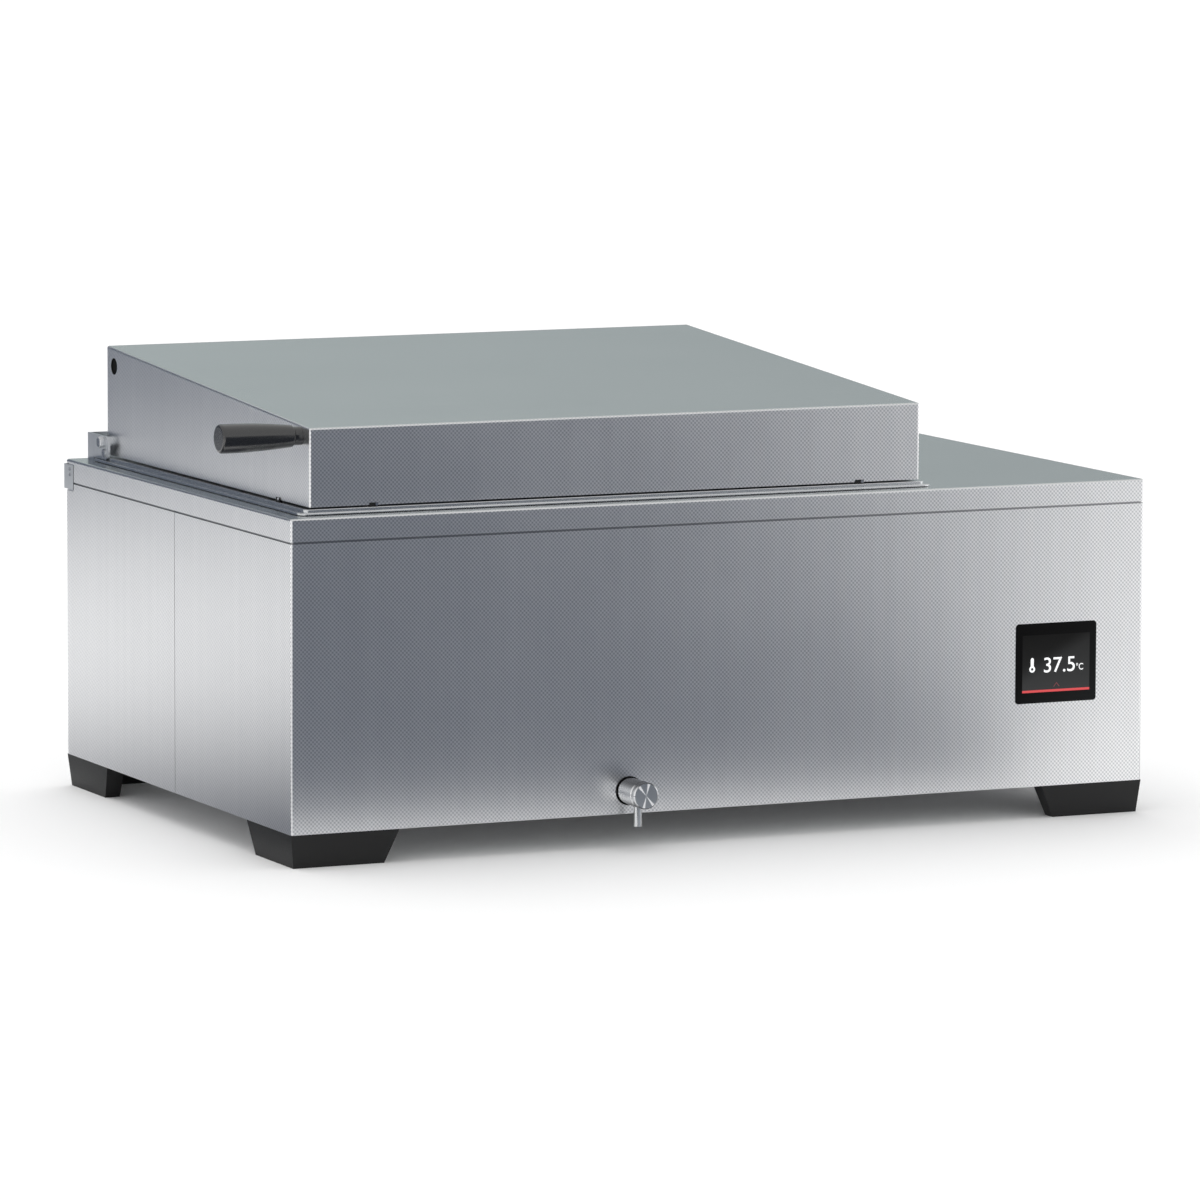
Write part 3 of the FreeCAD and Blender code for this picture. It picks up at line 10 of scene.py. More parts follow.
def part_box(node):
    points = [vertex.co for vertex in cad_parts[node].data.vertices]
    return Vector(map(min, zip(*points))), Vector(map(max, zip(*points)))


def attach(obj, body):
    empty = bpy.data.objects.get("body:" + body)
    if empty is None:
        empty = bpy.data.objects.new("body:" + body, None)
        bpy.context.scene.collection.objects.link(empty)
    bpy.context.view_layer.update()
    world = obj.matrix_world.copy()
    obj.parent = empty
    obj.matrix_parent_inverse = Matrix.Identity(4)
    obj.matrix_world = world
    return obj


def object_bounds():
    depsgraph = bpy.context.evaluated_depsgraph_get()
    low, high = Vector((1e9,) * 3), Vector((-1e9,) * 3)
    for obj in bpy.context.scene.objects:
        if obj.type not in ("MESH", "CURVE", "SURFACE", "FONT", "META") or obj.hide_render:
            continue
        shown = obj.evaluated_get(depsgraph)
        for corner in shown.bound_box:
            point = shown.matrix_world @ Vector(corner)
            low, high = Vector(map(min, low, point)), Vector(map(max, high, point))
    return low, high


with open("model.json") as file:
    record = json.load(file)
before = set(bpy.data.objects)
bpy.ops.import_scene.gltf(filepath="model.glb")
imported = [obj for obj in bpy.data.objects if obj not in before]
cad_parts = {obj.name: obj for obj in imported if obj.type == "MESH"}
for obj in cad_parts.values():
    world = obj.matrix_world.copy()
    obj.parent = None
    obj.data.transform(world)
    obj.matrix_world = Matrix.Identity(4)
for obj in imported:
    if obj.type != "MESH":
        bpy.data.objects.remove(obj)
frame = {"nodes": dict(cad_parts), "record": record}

mm = 0.001
uprightTurn = Matrix.Rotation(math.pi / 2, 4, "X")  # stands a flat shape up, facing the front
nodes = frame["nodes"]


def corners(bounds):
    return [list(bounds[0]), list(bounds[1])]


cadBounds = corners(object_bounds())
print("frame loaded:", len(nodes), "nodes")


# Shader helpers

def plug(tree, value, socket):
    # Links a wire to a socket, or writes a plain value into it
    if isinstance(value, Wire):
        tree.links.new(value.socket, socket)
    elif isinstance(value, (tuple, list)) and socket.type == "RGBA" and len(value) == 3:
        socket.default_value = (*value, 1.0)
    else:
        socket.default_value = value


def makeNode(tree, kind, settings=None, sockets=None, output=0):
    node = tree.nodes.new(kind)
    for key, value in (settings or {}).items():
        setattr(node, key, value)
    for key, value in (sockets or {}).items():
        plug(tree, value, node.inputs[key])
    return Wire(tree, node.outputs[output])


class Wire:
    # One socket's value; arithmetic on it adds Math nodes
    def __init__(self, tree, socket):
        self.tree = tree
        self.socket = socket

    def reach(self, operation, *values):
        return makeNode(self.tree, "ShaderNodeMath", {"operation": operation}, dict(enumerate(values)))

    def __add__(self, other):
        return self.reach("ADD", self, other)

    def __radd__(self, other):
        return self.reach("ADD", other, self)

    def __sub__(self, other):
        return self.reach("SUBTRACT", self, other)

    def __rsub__(self, other):
        return self.reach("SUBTRACT", other, self)

    def __mul__(self, other):
        return self.reach("MULTIPLY", self, other)

    def __rmul__(self, other):
        return self.reach("MULTIPLY", other, self)

    def __truediv__(self, other):
        return self.reach("DIVIDE", self, other)

    def __rtruediv__(self, other):
        return self.reach("DIVIDE", other, self)

    def __pow__(self, other):
        return self.reach("POWER", self, other)

    def __abs__(self):
        return self.reach("ABSOLUTE", self)

    def cosine(self):
        return self.reach("COSINE", self)

    def sine(self):
        return self.reach("SINE", self)

    def bearing(self, across):
        # The angle at which a point lies that is self up and across to the right
        return self.reach("ARCTAN2", self, across)

    def least(self, other):
        return self.reach("MINIMUM", self, other)

    def over(self, other):
        # 1 where self is the greater one, 0 elsewhere
        return self.reach("GREATER_THAN", self, other)

    def fade(self, low, high):
        # 0 below low, 1 above high, smooth between
        return makeNode(self.tree, "ShaderNodeMapRange", {"interpolation_type": "SMOOTHSTEP"},
                        {"Value": self, "From Min": low, "From Max": high}, "Result")


class Finish:
    # A material with one Principled surface and the means to add nodes to it
    def __init__(self, name, color, rough, metal=0.0, **fixed):
        self.material = bpy.data.materials.new(name)
        self.material.use_nodes = True
        self.tree = self.material.node_tree
        self.surface = next(n for n in self.tree.nodes if n.type == "BSDF_PRINCIPLED")
        self.set("Base Color", color)
        self.set("Roughness", rough)
        self.set("Metallic", metal)
        for socket, value in fixed.items():
            self.set(socket.replace("_", " "), value)
        self.place = self.node("ShaderNodeTexCoord", output="Object")

    def set(self, socket, value):
        plug(self.tree, value, self.surface.inputs[socket])

    def node(self, kind, settings=None, sockets=None, output=0):
        return makeNode(self.tree, kind, settings, sockets, output)

    def split(self, vector, axes="XYZ"):
        return [self.node("ShaderNodeSeparateXYZ", {}, {0: vector}, axis) for axis in axes]

    def facing(self, axes="XYZ"):
        # Which way the surface looks, along the axes asked for
        return self.split(self.node("ShaderNodeTexCoord", output="Normal"), axes)

    def share(self, low, width, height):
        # How far to the right and how high a point lies in an upright field, from 0 to 1
        x, z = self.split(self.place, "XZ")
        return (x - low.x) / width, (z - low.z) / height

    def noise(self, scale, detail=3.0, stretch=(1.0, 1.0, 1.0)):
        spread = self.node("ShaderNodeMapping", {}, {"Vector": self.place, "Scale": stretch})
        return self.node("ShaderNodeTexNoise", {}, {"Vector": spread, "Scale": scale, "Detail": detail})

    def tint(self, mask, dark, light):
        # Sockets 6 and 7 of the Mix node take its two colors, output 2 gives the mixed one
        return self.node("ShaderNodeMix", {"data_type": "RGBA"}, {0: mask, 6: dark, 7: light}, 2)

    def wear(self, mask, dark, light, rough):
        self.set("Base Color", self.tint(mask, dark, light))
        self.set("Roughness", rough)

    def bump(self, height, strength, distance):
        relief = {"Height": height, "Strength": strength, "Distance": distance}
        self.set("Normal", self.node("ShaderNodeBump", {}, relief))


def scaled(color, factor):
    return tuple(part * factor for part in color)


# Finishes

def makeEmbossedSteel():
    # Stainless sheet rolled with a fine staggered diamond; faces that look up are plain satin
    look = {"pitch": 3.6 * mm, "depth": 0.05 * mm, "dark": (0.57, 0.58, 0.60), "light": (1.0, 1.0, 1.0),
            "rough": 0.3, "paintedReliefShare": 0.78, "grainShare": 0.16, "streakShare": 0.18, "cloudShare": 0.08,
            "topDark": (0.66, 0.69, 0.69), "topLight": (0.80, 0.83, 0.83), "topRough": 0.25,
            "seamBelow": 1.7 * mm, "seamAbove": 0.1 * mm, "paintedGapShade": (0.08, 0.085, 0.09), "paintedGapShadeShare": 0.65}
    finish = Finish("embossedSteel", look["light"], look["rough"], 1.0)
    x, y, z = finish.split(finish.place)
    nx, nz = finish.facing("XZ")
    sideways = abs(nx).over(0.7)
    across = x * (1 - sideways) + y * sideways
    upright = 1 - abs(nz).fade(0.55, 0.85)
    beat = 2 * math.pi / look["pitch"]
    emboss = ((across * beat).cosine() * (z * beat).cosine() * 0.5 + 0.5).fade(0.12, 0.78) * upright
    grain = finish.noise(950.0, 1.0, (1.0, 1.0, 0.5))
    streak = finish.noise(75.0, 2.0, (1.0, 1.0, 0.01))
    cloud = finish.noise(8.0)
    # Painted shade: the diamond relief's light and dark cells go into the colour as well as into the bump
    tone = emboss * look["paintedReliefShare"] + grain * look["grainShare"] + streak * look["streakShare"]
    tone = tone + cloud * look["cloudShare"] - look["cloudShare"]
    side = finish.tint(tone, look["dark"], look["light"])
    brushed = finish.noise(170.0, 3.0, (0.02, 1.0, 1.0))
    top = finish.tint(brushed * 0.4 + cloud * 0.25 + 0.2, look["topDark"], look["topLight"])
    skin = finish.tint(upright, top, side)
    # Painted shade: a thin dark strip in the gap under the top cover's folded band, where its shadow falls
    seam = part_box("top_cover")[0].z
    gapShadeMask = z.over(seam - look["seamBelow"]) * (1 - z.over(seam + look["seamAbove"]))
    finish.set("Base Color", finish.tint(gapShadeMask * look["paintedGapShadeShare"], skin, look["paintedGapShade"]))
    rough = upright * (look["rough"] - look["topRough"]) + look["topRough"]
    finish.set("Roughness", rough + cloud * 0.04 - 0.02)
    finish.bump(emboss + brushed * 0.08 * (1 - upright), 0.6, look["depth"])
    return finish.material


def makeSatinSteel(name, dark, light, rough, stretch, paintedEdgeShade=0.0):
    # Brushed stainless; the edge share given paints shade on the ends that look to the front, standing in
    # for the shadow gap beside the bracket
    look = {"grain": 220.0, "depth": 0.03 * mm, "paintedEdgeShadeTone": (0.03, 0.03, 0.035)}
    finish = Finish(name, light, rough, 1.0)
    brushed = finish.noise(look["grain"], 3.0, stretch)
    cloud = finish.noise(7.0)
    skin = finish.tint(brushed * 0.6 + cloud * 0.4, dark, light)
    # Painted shade: faces that look to the front go near black
    if paintedEdgeShade:
        ny = finish.facing("Y")[0]
        skin = finish.tint((0 - ny).over(0.7) * paintedEdgeShade, skin, look["paintedEdgeShadeTone"])
    finish.set("Base Color", skin)
    finish.set("Roughness", brushed * 0.08 + (rough - 0.04))
    finish.bump(brushed, 0.1, look["depth"])
    return finish.material


def makeBrightSteel():
    # Polished screws, bolts, nuts and rivets
    look = {"dark": (0.46, 0.47, 0.50), "light": (0.78, 0.79, 0.80), "rough": 0.1, "grain": 300.0}
    finish = Finish("brightSteel", look["light"], look["rough"], 1.0)
    cloud = finish.noise(look["grain"], 2.0)
    finish.wear(cloud, look["dark"], look["light"], cloud * 0.1 + look["rough"])
    return finish.material


def makeTurnedSteel(center):
    # Turned on a lathe: a painted highlight on the flat face round the Y axis, four light rays on two lines
    # that cross
    look = {"lines": (128.5, 76.4), "spread": 0.17, "face": (0.50, 0.53, 0.565), "paintedRayTone": (0.93, 0.94, 0.95),
            "paintedWallDark": (0.10, 0.105, 0.115), "paintedWallLight": (0.86, 0.87, 0.88), "ringPitch": 0.9 * mm,
            "rough": 0.13, "faceRough": 0.2, "depth": 0.01 * mm}
    finish = Finish("turnedSteel", look["paintedWallLight"], look["rough"], 1.0)
    x, z = finish.split(finish.place, "XZ")
    nx, ny, nz = finish.facing()
    face = abs(ny).over(0.95)
    dx = x - center.x
    dz = z - center.z
    angle = dz.bearing(dx)
    radius = (dx * dx + dz * dz) ** 0.5
    # Painted highlight: light rays across the turned face, less metallic where they lie
    paintedRays = 0.0
    for degrees in look["lines"]:
        away = abs((angle - math.radians(degrees)).sine())
        paintedRays = paintedRays + (1 - away.fade(look["spread"] * 0.4, look["spread"]))
    paintedRays = paintedRays.least(1.0) * face
    rings = (radius * (2 * math.pi / look["ringPitch"])).cosine() * 0.5 + 0.5
    turns = finish.noise(1500.0, 1.0, (0.02, 1.0, 0.02))
    dull = finish.tint(rings * 0.25 + turns * 0.5, scaled(look["face"], 0.85), look["face"])
    # Painted reflection: round walls are dark where they look up, down or to the front, and light at their
    # sides
    above = abs(nz).fade(0.3, 0.85)
    front = (1 - abs(nx).fade(0.3, 0.62)) * abs(ny).over(0.35) * 0.7
    paintedWallReflection = (above + front).least(1.0) * 0.94 + turns * 0.06
    paintedWall = finish.tint(paintedWallReflection, look["paintedWallLight"], look["paintedWallDark"])
    finish.set("Base Color", finish.tint(paintedRays, finish.tint(face, paintedWall, dull), look["paintedRayTone"]))
    finish.set("Metallic", 1 - paintedRays * 0.75)
    finish.set("Roughness", face * look["faceRough"] + look["rough"] + turns * 0.04)
    finish.bump(turns * (1 - face), 0.1, look["depth"])
    return finish.material


def makeBlackPlastic(name, tone, rough, grain, depth, shine=0.35, polish=0.0):
    # Moulded plastic or rubber; polish is the share of a clear coat
    finish = Finish(name, (tone, tone, tone * 1.06), rough, Specular_IOR_Level=shine, Coat_Weight=polish,
                    Coat_Roughness=rough)
    speck = finish.noise(grain)
    cloud = finish.noise(30.0, 2.0)
    dark = (tone * 0.7, tone * 0.7, tone * 0.75)
    light = (tone * 1.5, tone * 1.5, tone * 1.6)
    finish.wear(speck * 0.6 + cloud * 0.4, dark, light, speck * 0.16 + (rough - 0.08))
    finish.bump(speck, 0.3, depth)
    return finish.material


def makeMottled(name, dark, light, rough, grain, depth, metal=0.0):
    # Inner parts: cast, plated, sprayed or fibrous stuff with an uneven tone
    finish = Finish(name, light, rough, metal)
    speck = finish.noise(grain, 4.0)
    finish.wear(speck.fade(0.3, 0.7), dark, light, speck * 0.2 + (rough - 0.1))
    finish.bump(speck, 0.4, depth)
    return finish.material


def makeCircuitBoard():
    # Green lacquer over a grid of tracks
    look = {"beatY": 900.0, "beatZ": 700.0, "dark": (0.015, 0.11, 0.05), "light": (0.10, 0.34, 0.17),
            "rough": 0.35, "depth": 0.05 * mm}
    finish = Finish("circuitBoard", look["dark"], look["rough"])
    y, z = finish.split(finish.place, "YZ")
    tracks = ((y * look["beatY"]).cosine() * (z * look["beatZ"]).cosine()).over(0.45)
    speck = finish.noise(60.0, 2.0)
    finish.set("Base Color", finish.tint(tracks * 0.6 + speck * 0.25, look["dark"], look["light"]))
    finish.bump(tracks, 0.3, look["depth"])
    return finish.material


def makeGlassBlack(low, high):
    # Black printed glass, a little greyer low down and to the right
    look = {"dark": (0.0015, 0.0015, 0.0018), "light": (0.011, 0.012, 0.0125), "rough": 0.08, "shine": 0.07}
    finish = Finish("displayGlass", look["dark"], look["rough"], Specular_IOR_Level=look["shine"])
    along, rise = finish.share(low, high.x - low.x, high.z - low.z)
    haze = finish.noise(14.0, 2.0)
    grey = (along * 0.5 - rise * 0.6 + haze * 0.2 + 0.25).fade(0.0, 1.0)
    finish.wear(grey, look["dark"], look["light"], haze * 0.05 + look["rough"])
    return finish.material


def makeScreenGlow(low, width, height):
    # The lit field behind the signs: near black at the top left, dark grey low down, with a painted
    # reflection along a slant
    look = {"paint": (0.004, 0.004, 0.004), "dark": (0.0035, 0.0035, 0.0035), "light": (0.043, 0.044, 0.045),
            "rough": 0.15, "shine": 0.07}
    finish = Finish("screenGlow", look["paint"], look["rough"], Specular_IOR_Level=look["shine"],
                    Emission_Strength=1.0)
    along, rise = finish.share(low, width, height)
    # Painted reflection: the field is lighter on one side of a slanting line across it
    paintedReflectionSlant = (along * 0.75 - rise + 0.42).fade(-0.06, 0.34)
    grain = finish.noise(500.0, 1.0)
    glow = (paintedReflectionSlant * 0.42 + (1 - rise) * 0.52 + grain * 0.05) ** 1.3
    finish.set("Emission Color", finish.tint(glow, look["dark"], look["light"]))
    finish.set("Roughness", grain * 0.1 + look["rough"])
    return finish.material


def makeInk(name, color, strength):
    # A sign's color: it glows with the strength given, over darker paint
    finish = Finish(name, color, 0.4, Emission_Strength=strength)
    glow = finish.noise(900.0, 1.0)
    finish.set("Base Color", finish.tint(glow, scaled(color, 0.3), scaled(color, 0.4)))
    finish.set("Emission Color", finish.tint(glow, scaled(color, 0.92), color))
    return finish.material


def assign(material, *names):
    for name in names:
        for slot in nodes[name].material_slots:
            slot.material = material


def dressNodes():
    knobLow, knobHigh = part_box("drain_knob")
    alongX = (0.03, 1.0, 1.0)  # brushed from side to side
    upZ = (1.0, 1.0, 0.04)  # brushed upwards
    assign(makeEmbossedSteel(), "front_shell", "rear_shell", "lid_shell", "top_cover")
    assign(makeSatinSteel("satinSteel", (0.62, 0.635, 0.65), (0.76, 0.775, 0.785), rough=0.24,
                          stretch=alongX),
           "tank", "seat_frame", "drain_fitting")
    assign(makeSatinSteel("hingeSteel", (0.50, 0.52, 0.55), (0.72, 0.74, 0.76), rough=0.30,
                          stretch=upZ),
           "hinge_bracket_left", "hinge_bracket_right", "hinge_spacers")
    # The corner brackets get painted shade on their front-facing ends
    assign(makeSatinSteel("cornerSteel", (0.55, 0.57, 0.59), (0.74, 0.76, 0.78), rough=0.28,
                          stretch=upZ, paintedEdgeShade=0.9),
           "corner_bracket_left", "corner_bracket_right")
    assign(makeBrightSteel(), "base_screws", "foot_screws", "corner_screws", "hinge_bracket_screws",
           "ear_screws", "hinge_bolt_left", "hinge_bolt_right", "hinge_nuts", "handle_stud", "handle_nut",
           "buffer_rivets", "temperature_sensors")
    assign(makeTurnedSteel((knobLow + knobHigh) / 2), "valve_body", "drain_knob", "drain_spout")
    assign(makeBlackPlastic("footBlack", tone=0.007, rough=0.5, grain=900.0, depth=0.1 * mm),
           "foot_front_left", "foot_front_right", "foot_rear_left", "foot_rear_right")
    assign(makeBlackPlastic("gripBlack", tone=0.004, rough=0.22, grain=1400.0, depth=0.02 * mm, shine=0.9,
                            polish=0.6), "lid_handle", "handle_collar")
    assign(makeBlackPlastic("rubberBlack", tone=0.006, rough=0.6, grain=700.0, depth=0.06 * mm),
           "rim_gasket", "lid_buffers")
    assign(makeBlackPlastic("portBlack", tone=0.002, rough=0.7, grain=700.0, depth=0.04 * mm, shine=0.1),
           "port_plug", "valve_seal")
    assign(makeBlackPlastic("fittingBlack", tone=0.022, rough=0.42, grain=1100.0, depth=0.05 * mm),
           "display_frame", "switch_housing", "switch_rocker", "mains_inlet", "terminal_block")
    assign(makeMottled("zincSheet", (0.42, 0.43, 0.45), (0.62, 0.63, 0.64), rough=0.42, grain=45.0,
                       depth=0.03 * mm, metal=0.9), "base_pan", "partition_wall")
    assign(makeMottled("yellowBrass", (0.55, 0.38, 0.13), (0.80, 0.60, 0.28), rough=0.32, grain=160.0,
                       depth=0.03 * mm, metal=1.0), "valve_nut", "drain_pipe")
    assign(makeMottled("fibreWool", (0.55, 0.52, 0.44), (0.86, 0.83, 0.74), rough=0.92, grain=260.0,
                       depth=0.6 * mm), "insulation_front", "insulation_back", "insulation_left",
           "insulation_right", "insulation_bottom")
    assign(makeMottled("heaterMat", (0.30, 0.05, 0.03), (0.46, 0.12, 0.07), rough=0.6, grain=320.0,
                       depth=0.1 * mm), "heater_pad_left", "heater_pad_right", "heater_pad_bottom")
    assign(makeMottled("castCore", (0.08, 0.08, 0.09), (0.2, 0.2, 0.22), rough=0.5, grain=120.0,
                       depth=0.1 * mm, metal=0.3), "transformer")
    assign(makeMottled("finAlloy", (0.52, 0.53, 0.55), (0.74, 0.75, 0.77), rough=0.36, grain=90.0,
                       depth=0.03 * mm, metal=1.0), "relay_block")
    assign(makeCircuitBoard(), "display_board", "power_board")
    assign(makeGlassBlack(*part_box("display_glass")), "display_glass")


dressNodes()
print("finishes assigned")


# Making pieces

def finishPiece(name, mesh, material, body):
    creaseAngle = 35.0  # sharper edges stay crisp
    data = bpy.data.meshes.new(name)
    bmesh.ops.recalc_face_normals(mesh, faces=mesh.faces[:])
    mesh.to_mesh(data)
    mesh.free()
    data.materials.append(material)
    data.shade_smooth()
    data.set_sharp_from_angle(angle=math.radians(creaseAngle))
    piece = bpy.data.objects.new(name, data)
    bpy.context.scene.collection.objects.link(piece)
    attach(piece, body)


def flatPlate(low, width, height, y, depth):
    mesh = bmesh.new()
    bmesh.ops.create_cube(mesh, size=1.0)
    center = (low.x + width / 2, y - depth / 2, low.z + height / 2)
    mesh.transform(Matrix.Translation(center) @ Matrix.Diagonal((width, depth, height, 1.0)))
    return mesh


def addRing(mesh, hole, radius, place):
    inner = bmesh.ops.create_circle(mesh, segments=32, radius=hole, matrix=place)
    outer = bmesh.ops.create_circle(mesh, segments=32, radius=radius, matrix=place)
    rims = {e for v in inner["verts"] + outer["verts"] for e in v.link_edges}
    bmesh.ops.bridge_loops(mesh, edges=list(rims))


def thicken(mesh, depth):
    # Draws flat faces out along -Y, or along Y where depth is below zero
    raised = bmesh.ops.extrude_face_region(mesh, geom=mesh.faces[:])
    moved = [v for v in raised["geom"] if isinstance(v, bmesh.types.BMVert)]
    bmesh.ops.translate(mesh, verts=moved, vec=(0, -depth, 0))
    return mesh


def writeWords(words, width, height, weight):
    # Lettering as a flat mesh in the XZ plane, its first sign's base at the origin
    digitShare = 0.729  # a digit's height in the built-in font, as a share of the font's size
    curve = bpy.data.curves.new("words", "FONT")
    curve.body = words
    curve.size = height / digitShare
    curve.offset = weight
    curve.resolution_u = 6
    flat = bpy.data.objects.new("words", curve)
    bpy.context.scene.collection.objects.link(flat)
    bpy.context.view_layer.update()
    data = bpy.data.meshes.new_from_object(flat)
    bpy.data.objects.remove(flat)
    mesh = bmesh.new()
    mesh.from_mesh(data)
    mesh.transform(uprightTurn)
    left = min(v.co.x for v in mesh.verts)
    right = max(v.co.x for v in mesh.verts)
    bmesh.ops.translate(mesh, verts=mesh.verts[:], vec=(-left, 0, 0))
    mesh.transform(Matrix.Diagonal((width / (right - left), 1.0, 1.0, 1.0)))
    return mesh


# Display picture: a lit field, plain digits with their unit, a line, a thermometer sign and an arrow

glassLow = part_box("display_glass")[0]
sheet = 0.02 * mm  # thickness of each sign
lift = 0.04 * mm  # from the glass to the field, and from the field to the signs
fieldY = glassLow.y - lift
signY = fieldY - lift


def finishSign(name, mesh, material):
    finishPiece(name, mesh, material, "housing")


def onGlass(right, up):
    # A spot on the signs' plane, measured from the glass's lower left corner
    return Vector((glassLow.x + right, signY, glassLow.z + up))


def makeField(look, corner):
    field = flatPlate(corner, look["wide"], look["high"], fieldY + sheet, sheet)
    finishSign("display_field", field, makeScreenGlow(corner, look["wide"], look["high"]))


def makeDigits(ink):
    look = {"display_digits": {"words": "37.5", "left": 28.0 * mm, "low": 27.1 * mm, "wide": 31.0 * mm,
                               "high": 13.9 * mm, "weight": 0.07 * mm},
            "display_unit": {"words": "°C", "left": 60.2 * mm, "low": 27.9 * mm, "wide": 7.2 * mm,
                             "high": 6.0 * mm, "weight": 0.05 * mm}}
    for name, sign in look.items():
        mesh = writeWords(sign["words"], sign["wide"], sign["high"], sign["weight"])
        mesh.transform(Matrix.Translation(onGlass(sign["left"], sign["low"])))
        finishSign(name, thicken(mesh, sheet), ink)


def makeLine(look, corner):
    line = flatPlate(corner, look["wide"], look["line"], signY, sheet)
    finishSign("display_line", line, makeInk("displayRed", (0.62, 0.055, 0.06), 0.9))


def makeThermometer(ink):
    # A ring for the bulb, and a capsule that stands on it
    look = {"right": 16.2 * mm, "up": 30.5 * mm, "bulb": 2.9 * mm, "bulbHole": 1.2 * mm, "stem": 1.55 * mm,
            "stemTop": 40.6 * mm}
    sign = bmesh.new()
    addRing(sign, look["bulbHole"], look["bulb"],
            Matrix.Translation(onGlass(look["right"], look["up"])) @ uprightTurn)
    stemUp = look["up"] + look["bulb"]
    foot = onGlass(look["right"], stemUp)
    stem = bmesh.ops.create_circle(sign, cap_ends=True, segments=24, radius=look["stem"],
                                   matrix=Matrix.Translation(foot) @ uprightTurn)
    # The upper half goes up, with the two points at half height
    upper = [v for v in stem["verts"] if v.co.z > foot.z - look["stem"] / 10]
    bmesh.ops.translate(sign, verts=upper, vec=(0, 0, look["stemTop"] - stemUp - look["stem"]))
    finishSign("display_thermometer", thicken(sign, sheet), ink)


def makeArrow():
    # One bar leaning in, mirrored about the middle
    look = {"right": 40.7 * mm, "low": 14.0 * mm, "high": 18.0 * mm, "half": 3.2 * mm, "bar": 0.975 * mm}
    outline = ((-look["half"], look["low"]), (look["bar"] - look["half"], look["low"]),
               (0, look["high"] - look["bar"]), (0, look["high"]))
    arrow = bmesh.new()
    arrow.faces.new([arrow.verts.new(onGlass(look["right"] + across, up)) for across, up in outline])
    middle = Matrix.Translation((-onGlass(look["right"], 0).x, 0, 0))
    bmesh.ops.mirror(arrow, geom=arrow.faces[:], matrix=middle, axis="X", merge_dist=0.01 * mm)
    finishSign("display_arrow", thicken(arrow, sheet), makeInk("displayDimRed", (0.17, 0.035, 0.04), 0.8))


def makeDisplayPicture():
    look = {"left": 6.4 * mm, "low": 9.6 * mm, "wide": 67.3 * mm, "high": 51.2 * mm, "line": 2.1 * mm}
    corner = onGlass(look["left"], look["low"])
    white = makeInk("displayWhite", (0.93, 0.94, 0.95), 0.9)
    makeField(look, corner)
    makeDigits(white)
    makeLine(look, corner)
    makeThermometer(white)
    makeArrow()


makeDisplayPicture()
print("display picture made")


# On and off marks on the rocker, a bar and a ring, lying on its two leaning halves

def makeSwitchMarks():
    # The rocker's face is a shallow V: valley is its height over the pivot, as a share of the crest's
    look = {"crest": 1.52 * mm, "reach": 8.3 * mm, "valley": 0.312, "along": 0.52, "bar": 0.55 * mm,
            "barHigh": 3.6 * mm, "ring": 1.8 * mm, "ringHole": 1.25 * mm, "proud": 0.05 * mm}
    joint = next(j for j in frame["record"]["behaviour"]["joints"] if j["name"] == "power_rocker")
    throw = math.radians(sum(joint["range_deg"]) / 2)  # the rocker's lean at rest
    rest = Matrix.Translation(joint["pos_m"]) @ Matrix.Rotation(throw, 4, "X")
    slope = math.atan2(look["crest"] * (1 - look["valley"]), look["reach"])
    markWhite = makeInk("markWhite", (0.8, 0.8, 0.8), 0.0)

    def lay(name, mesh, side):
        # side is 1 for the rocker's upper half, -1 for its lower one
        height = look["crest"] * (look["valley"] + (1 - look["valley"]) * look["along"])
        spot = Matrix.Translation((0, height, side * look["reach"] * look["along"]))
        mesh.transform(rest @ spot @ Matrix.Rotation(-slope * side, 4, "X"))
        finishPiece(name, mesh, markWhite, "rocker")

    bar = bmesh.new()
    bmesh.ops.create_cube(bar, size=1.0)
    bar.transform(Matrix.Diagonal((look["bar"], look["proud"] * 2, look["barHigh"], 1.0)))
    lay("switch_on_mark", bar, 1)

    ring = bmesh.new()
    addRing(ring, look["ringHole"], look["ring"], uprightTurn)
    lay("switch_off_mark", thicken(ring, -look["proud"]), -1)


makeSwitchMarks()
print("switch marks made")


# Studio: pale floor, soft light, and the camera where the photograph was taken

def makeFloor():
    look = {"reach": 60.0, "paper": (0.965, 0.965, 0.965), "rough": 0.9, "glow": 0.022}
    mesh = bmesh.new()
    bmesh.ops.create_grid(mesh, x_segments=1, y_segments=1, size=look["reach"])
    data = bpy.data.meshes.new("floor")
    mesh.to_mesh(data)
    mesh.free()
    paper = Finish("floorPaper", look["paper"], look["rough"], Specular_IOR_Level=0.0,
                   Emission_Strength=look["glow"])
    paper.set("Emission Color", look["paper"])
    data.materials.append(paper.material)
    floor = bpy.data.objects.new("floor", data)
    bpy.context.scene.collection.objects.link(floor)


def makeRoom():
    # Light from all round, with a brighter band just above the floor's far edge
    look = {"band": 1.02, "bandTop": 0.09, "horizon": 0.89, "horizonTop": 0.10, "zenith": 0.73,
            "zenithLow": 0.6}
    world = bpy.data.worlds.new("softRoom")
    world.use_nodes = True
    bpy.context.scene.world = world
    tree = world.node_tree
    direction = makeNode(tree, "ShaderNodeTexCoord", output="Generated")
    height = makeNode(tree, "ShaderNodeSeparateXYZ", {}, {0: direction}, "Z")
    rise = height.fade(look["horizonTop"], look["zenithLow"])
    band = 1 - height.fade(0.0, look["bandTop"])
    level = look["horizon"] - rise * (look["horizon"] - look["zenith"])
    back = next(n for n in tree.nodes if n.type == "BACKGROUND")
    plug(tree, (1.0, 1.0, 1.0), back.inputs["Color"])
    plug(tree, level + band * (look["band"] - look["horizon"]), back.inputs["Strength"])


def makeSun():
    look = {"energy": 1.12, "spread": 60.0, "tilt": -19.0}
    sun = bpy.data.lights.new("softSun", "SUN")
    sun.energy = look["energy"]
    sun.angle = math.radians(look["spread"])
    lamp = bpy.data.objects.new("softSun", sun)
    lamp.rotation_euler = (math.radians(look["tilt"]), 0, 0)
    lamp.visible_glossy = False
    bpy.context.scene.collection.objects.link(lamp)


def patch(left, right, front, back):
    # The corners of a patch on the floor
    return (left, front), (right, front), (right, back), (left, back)


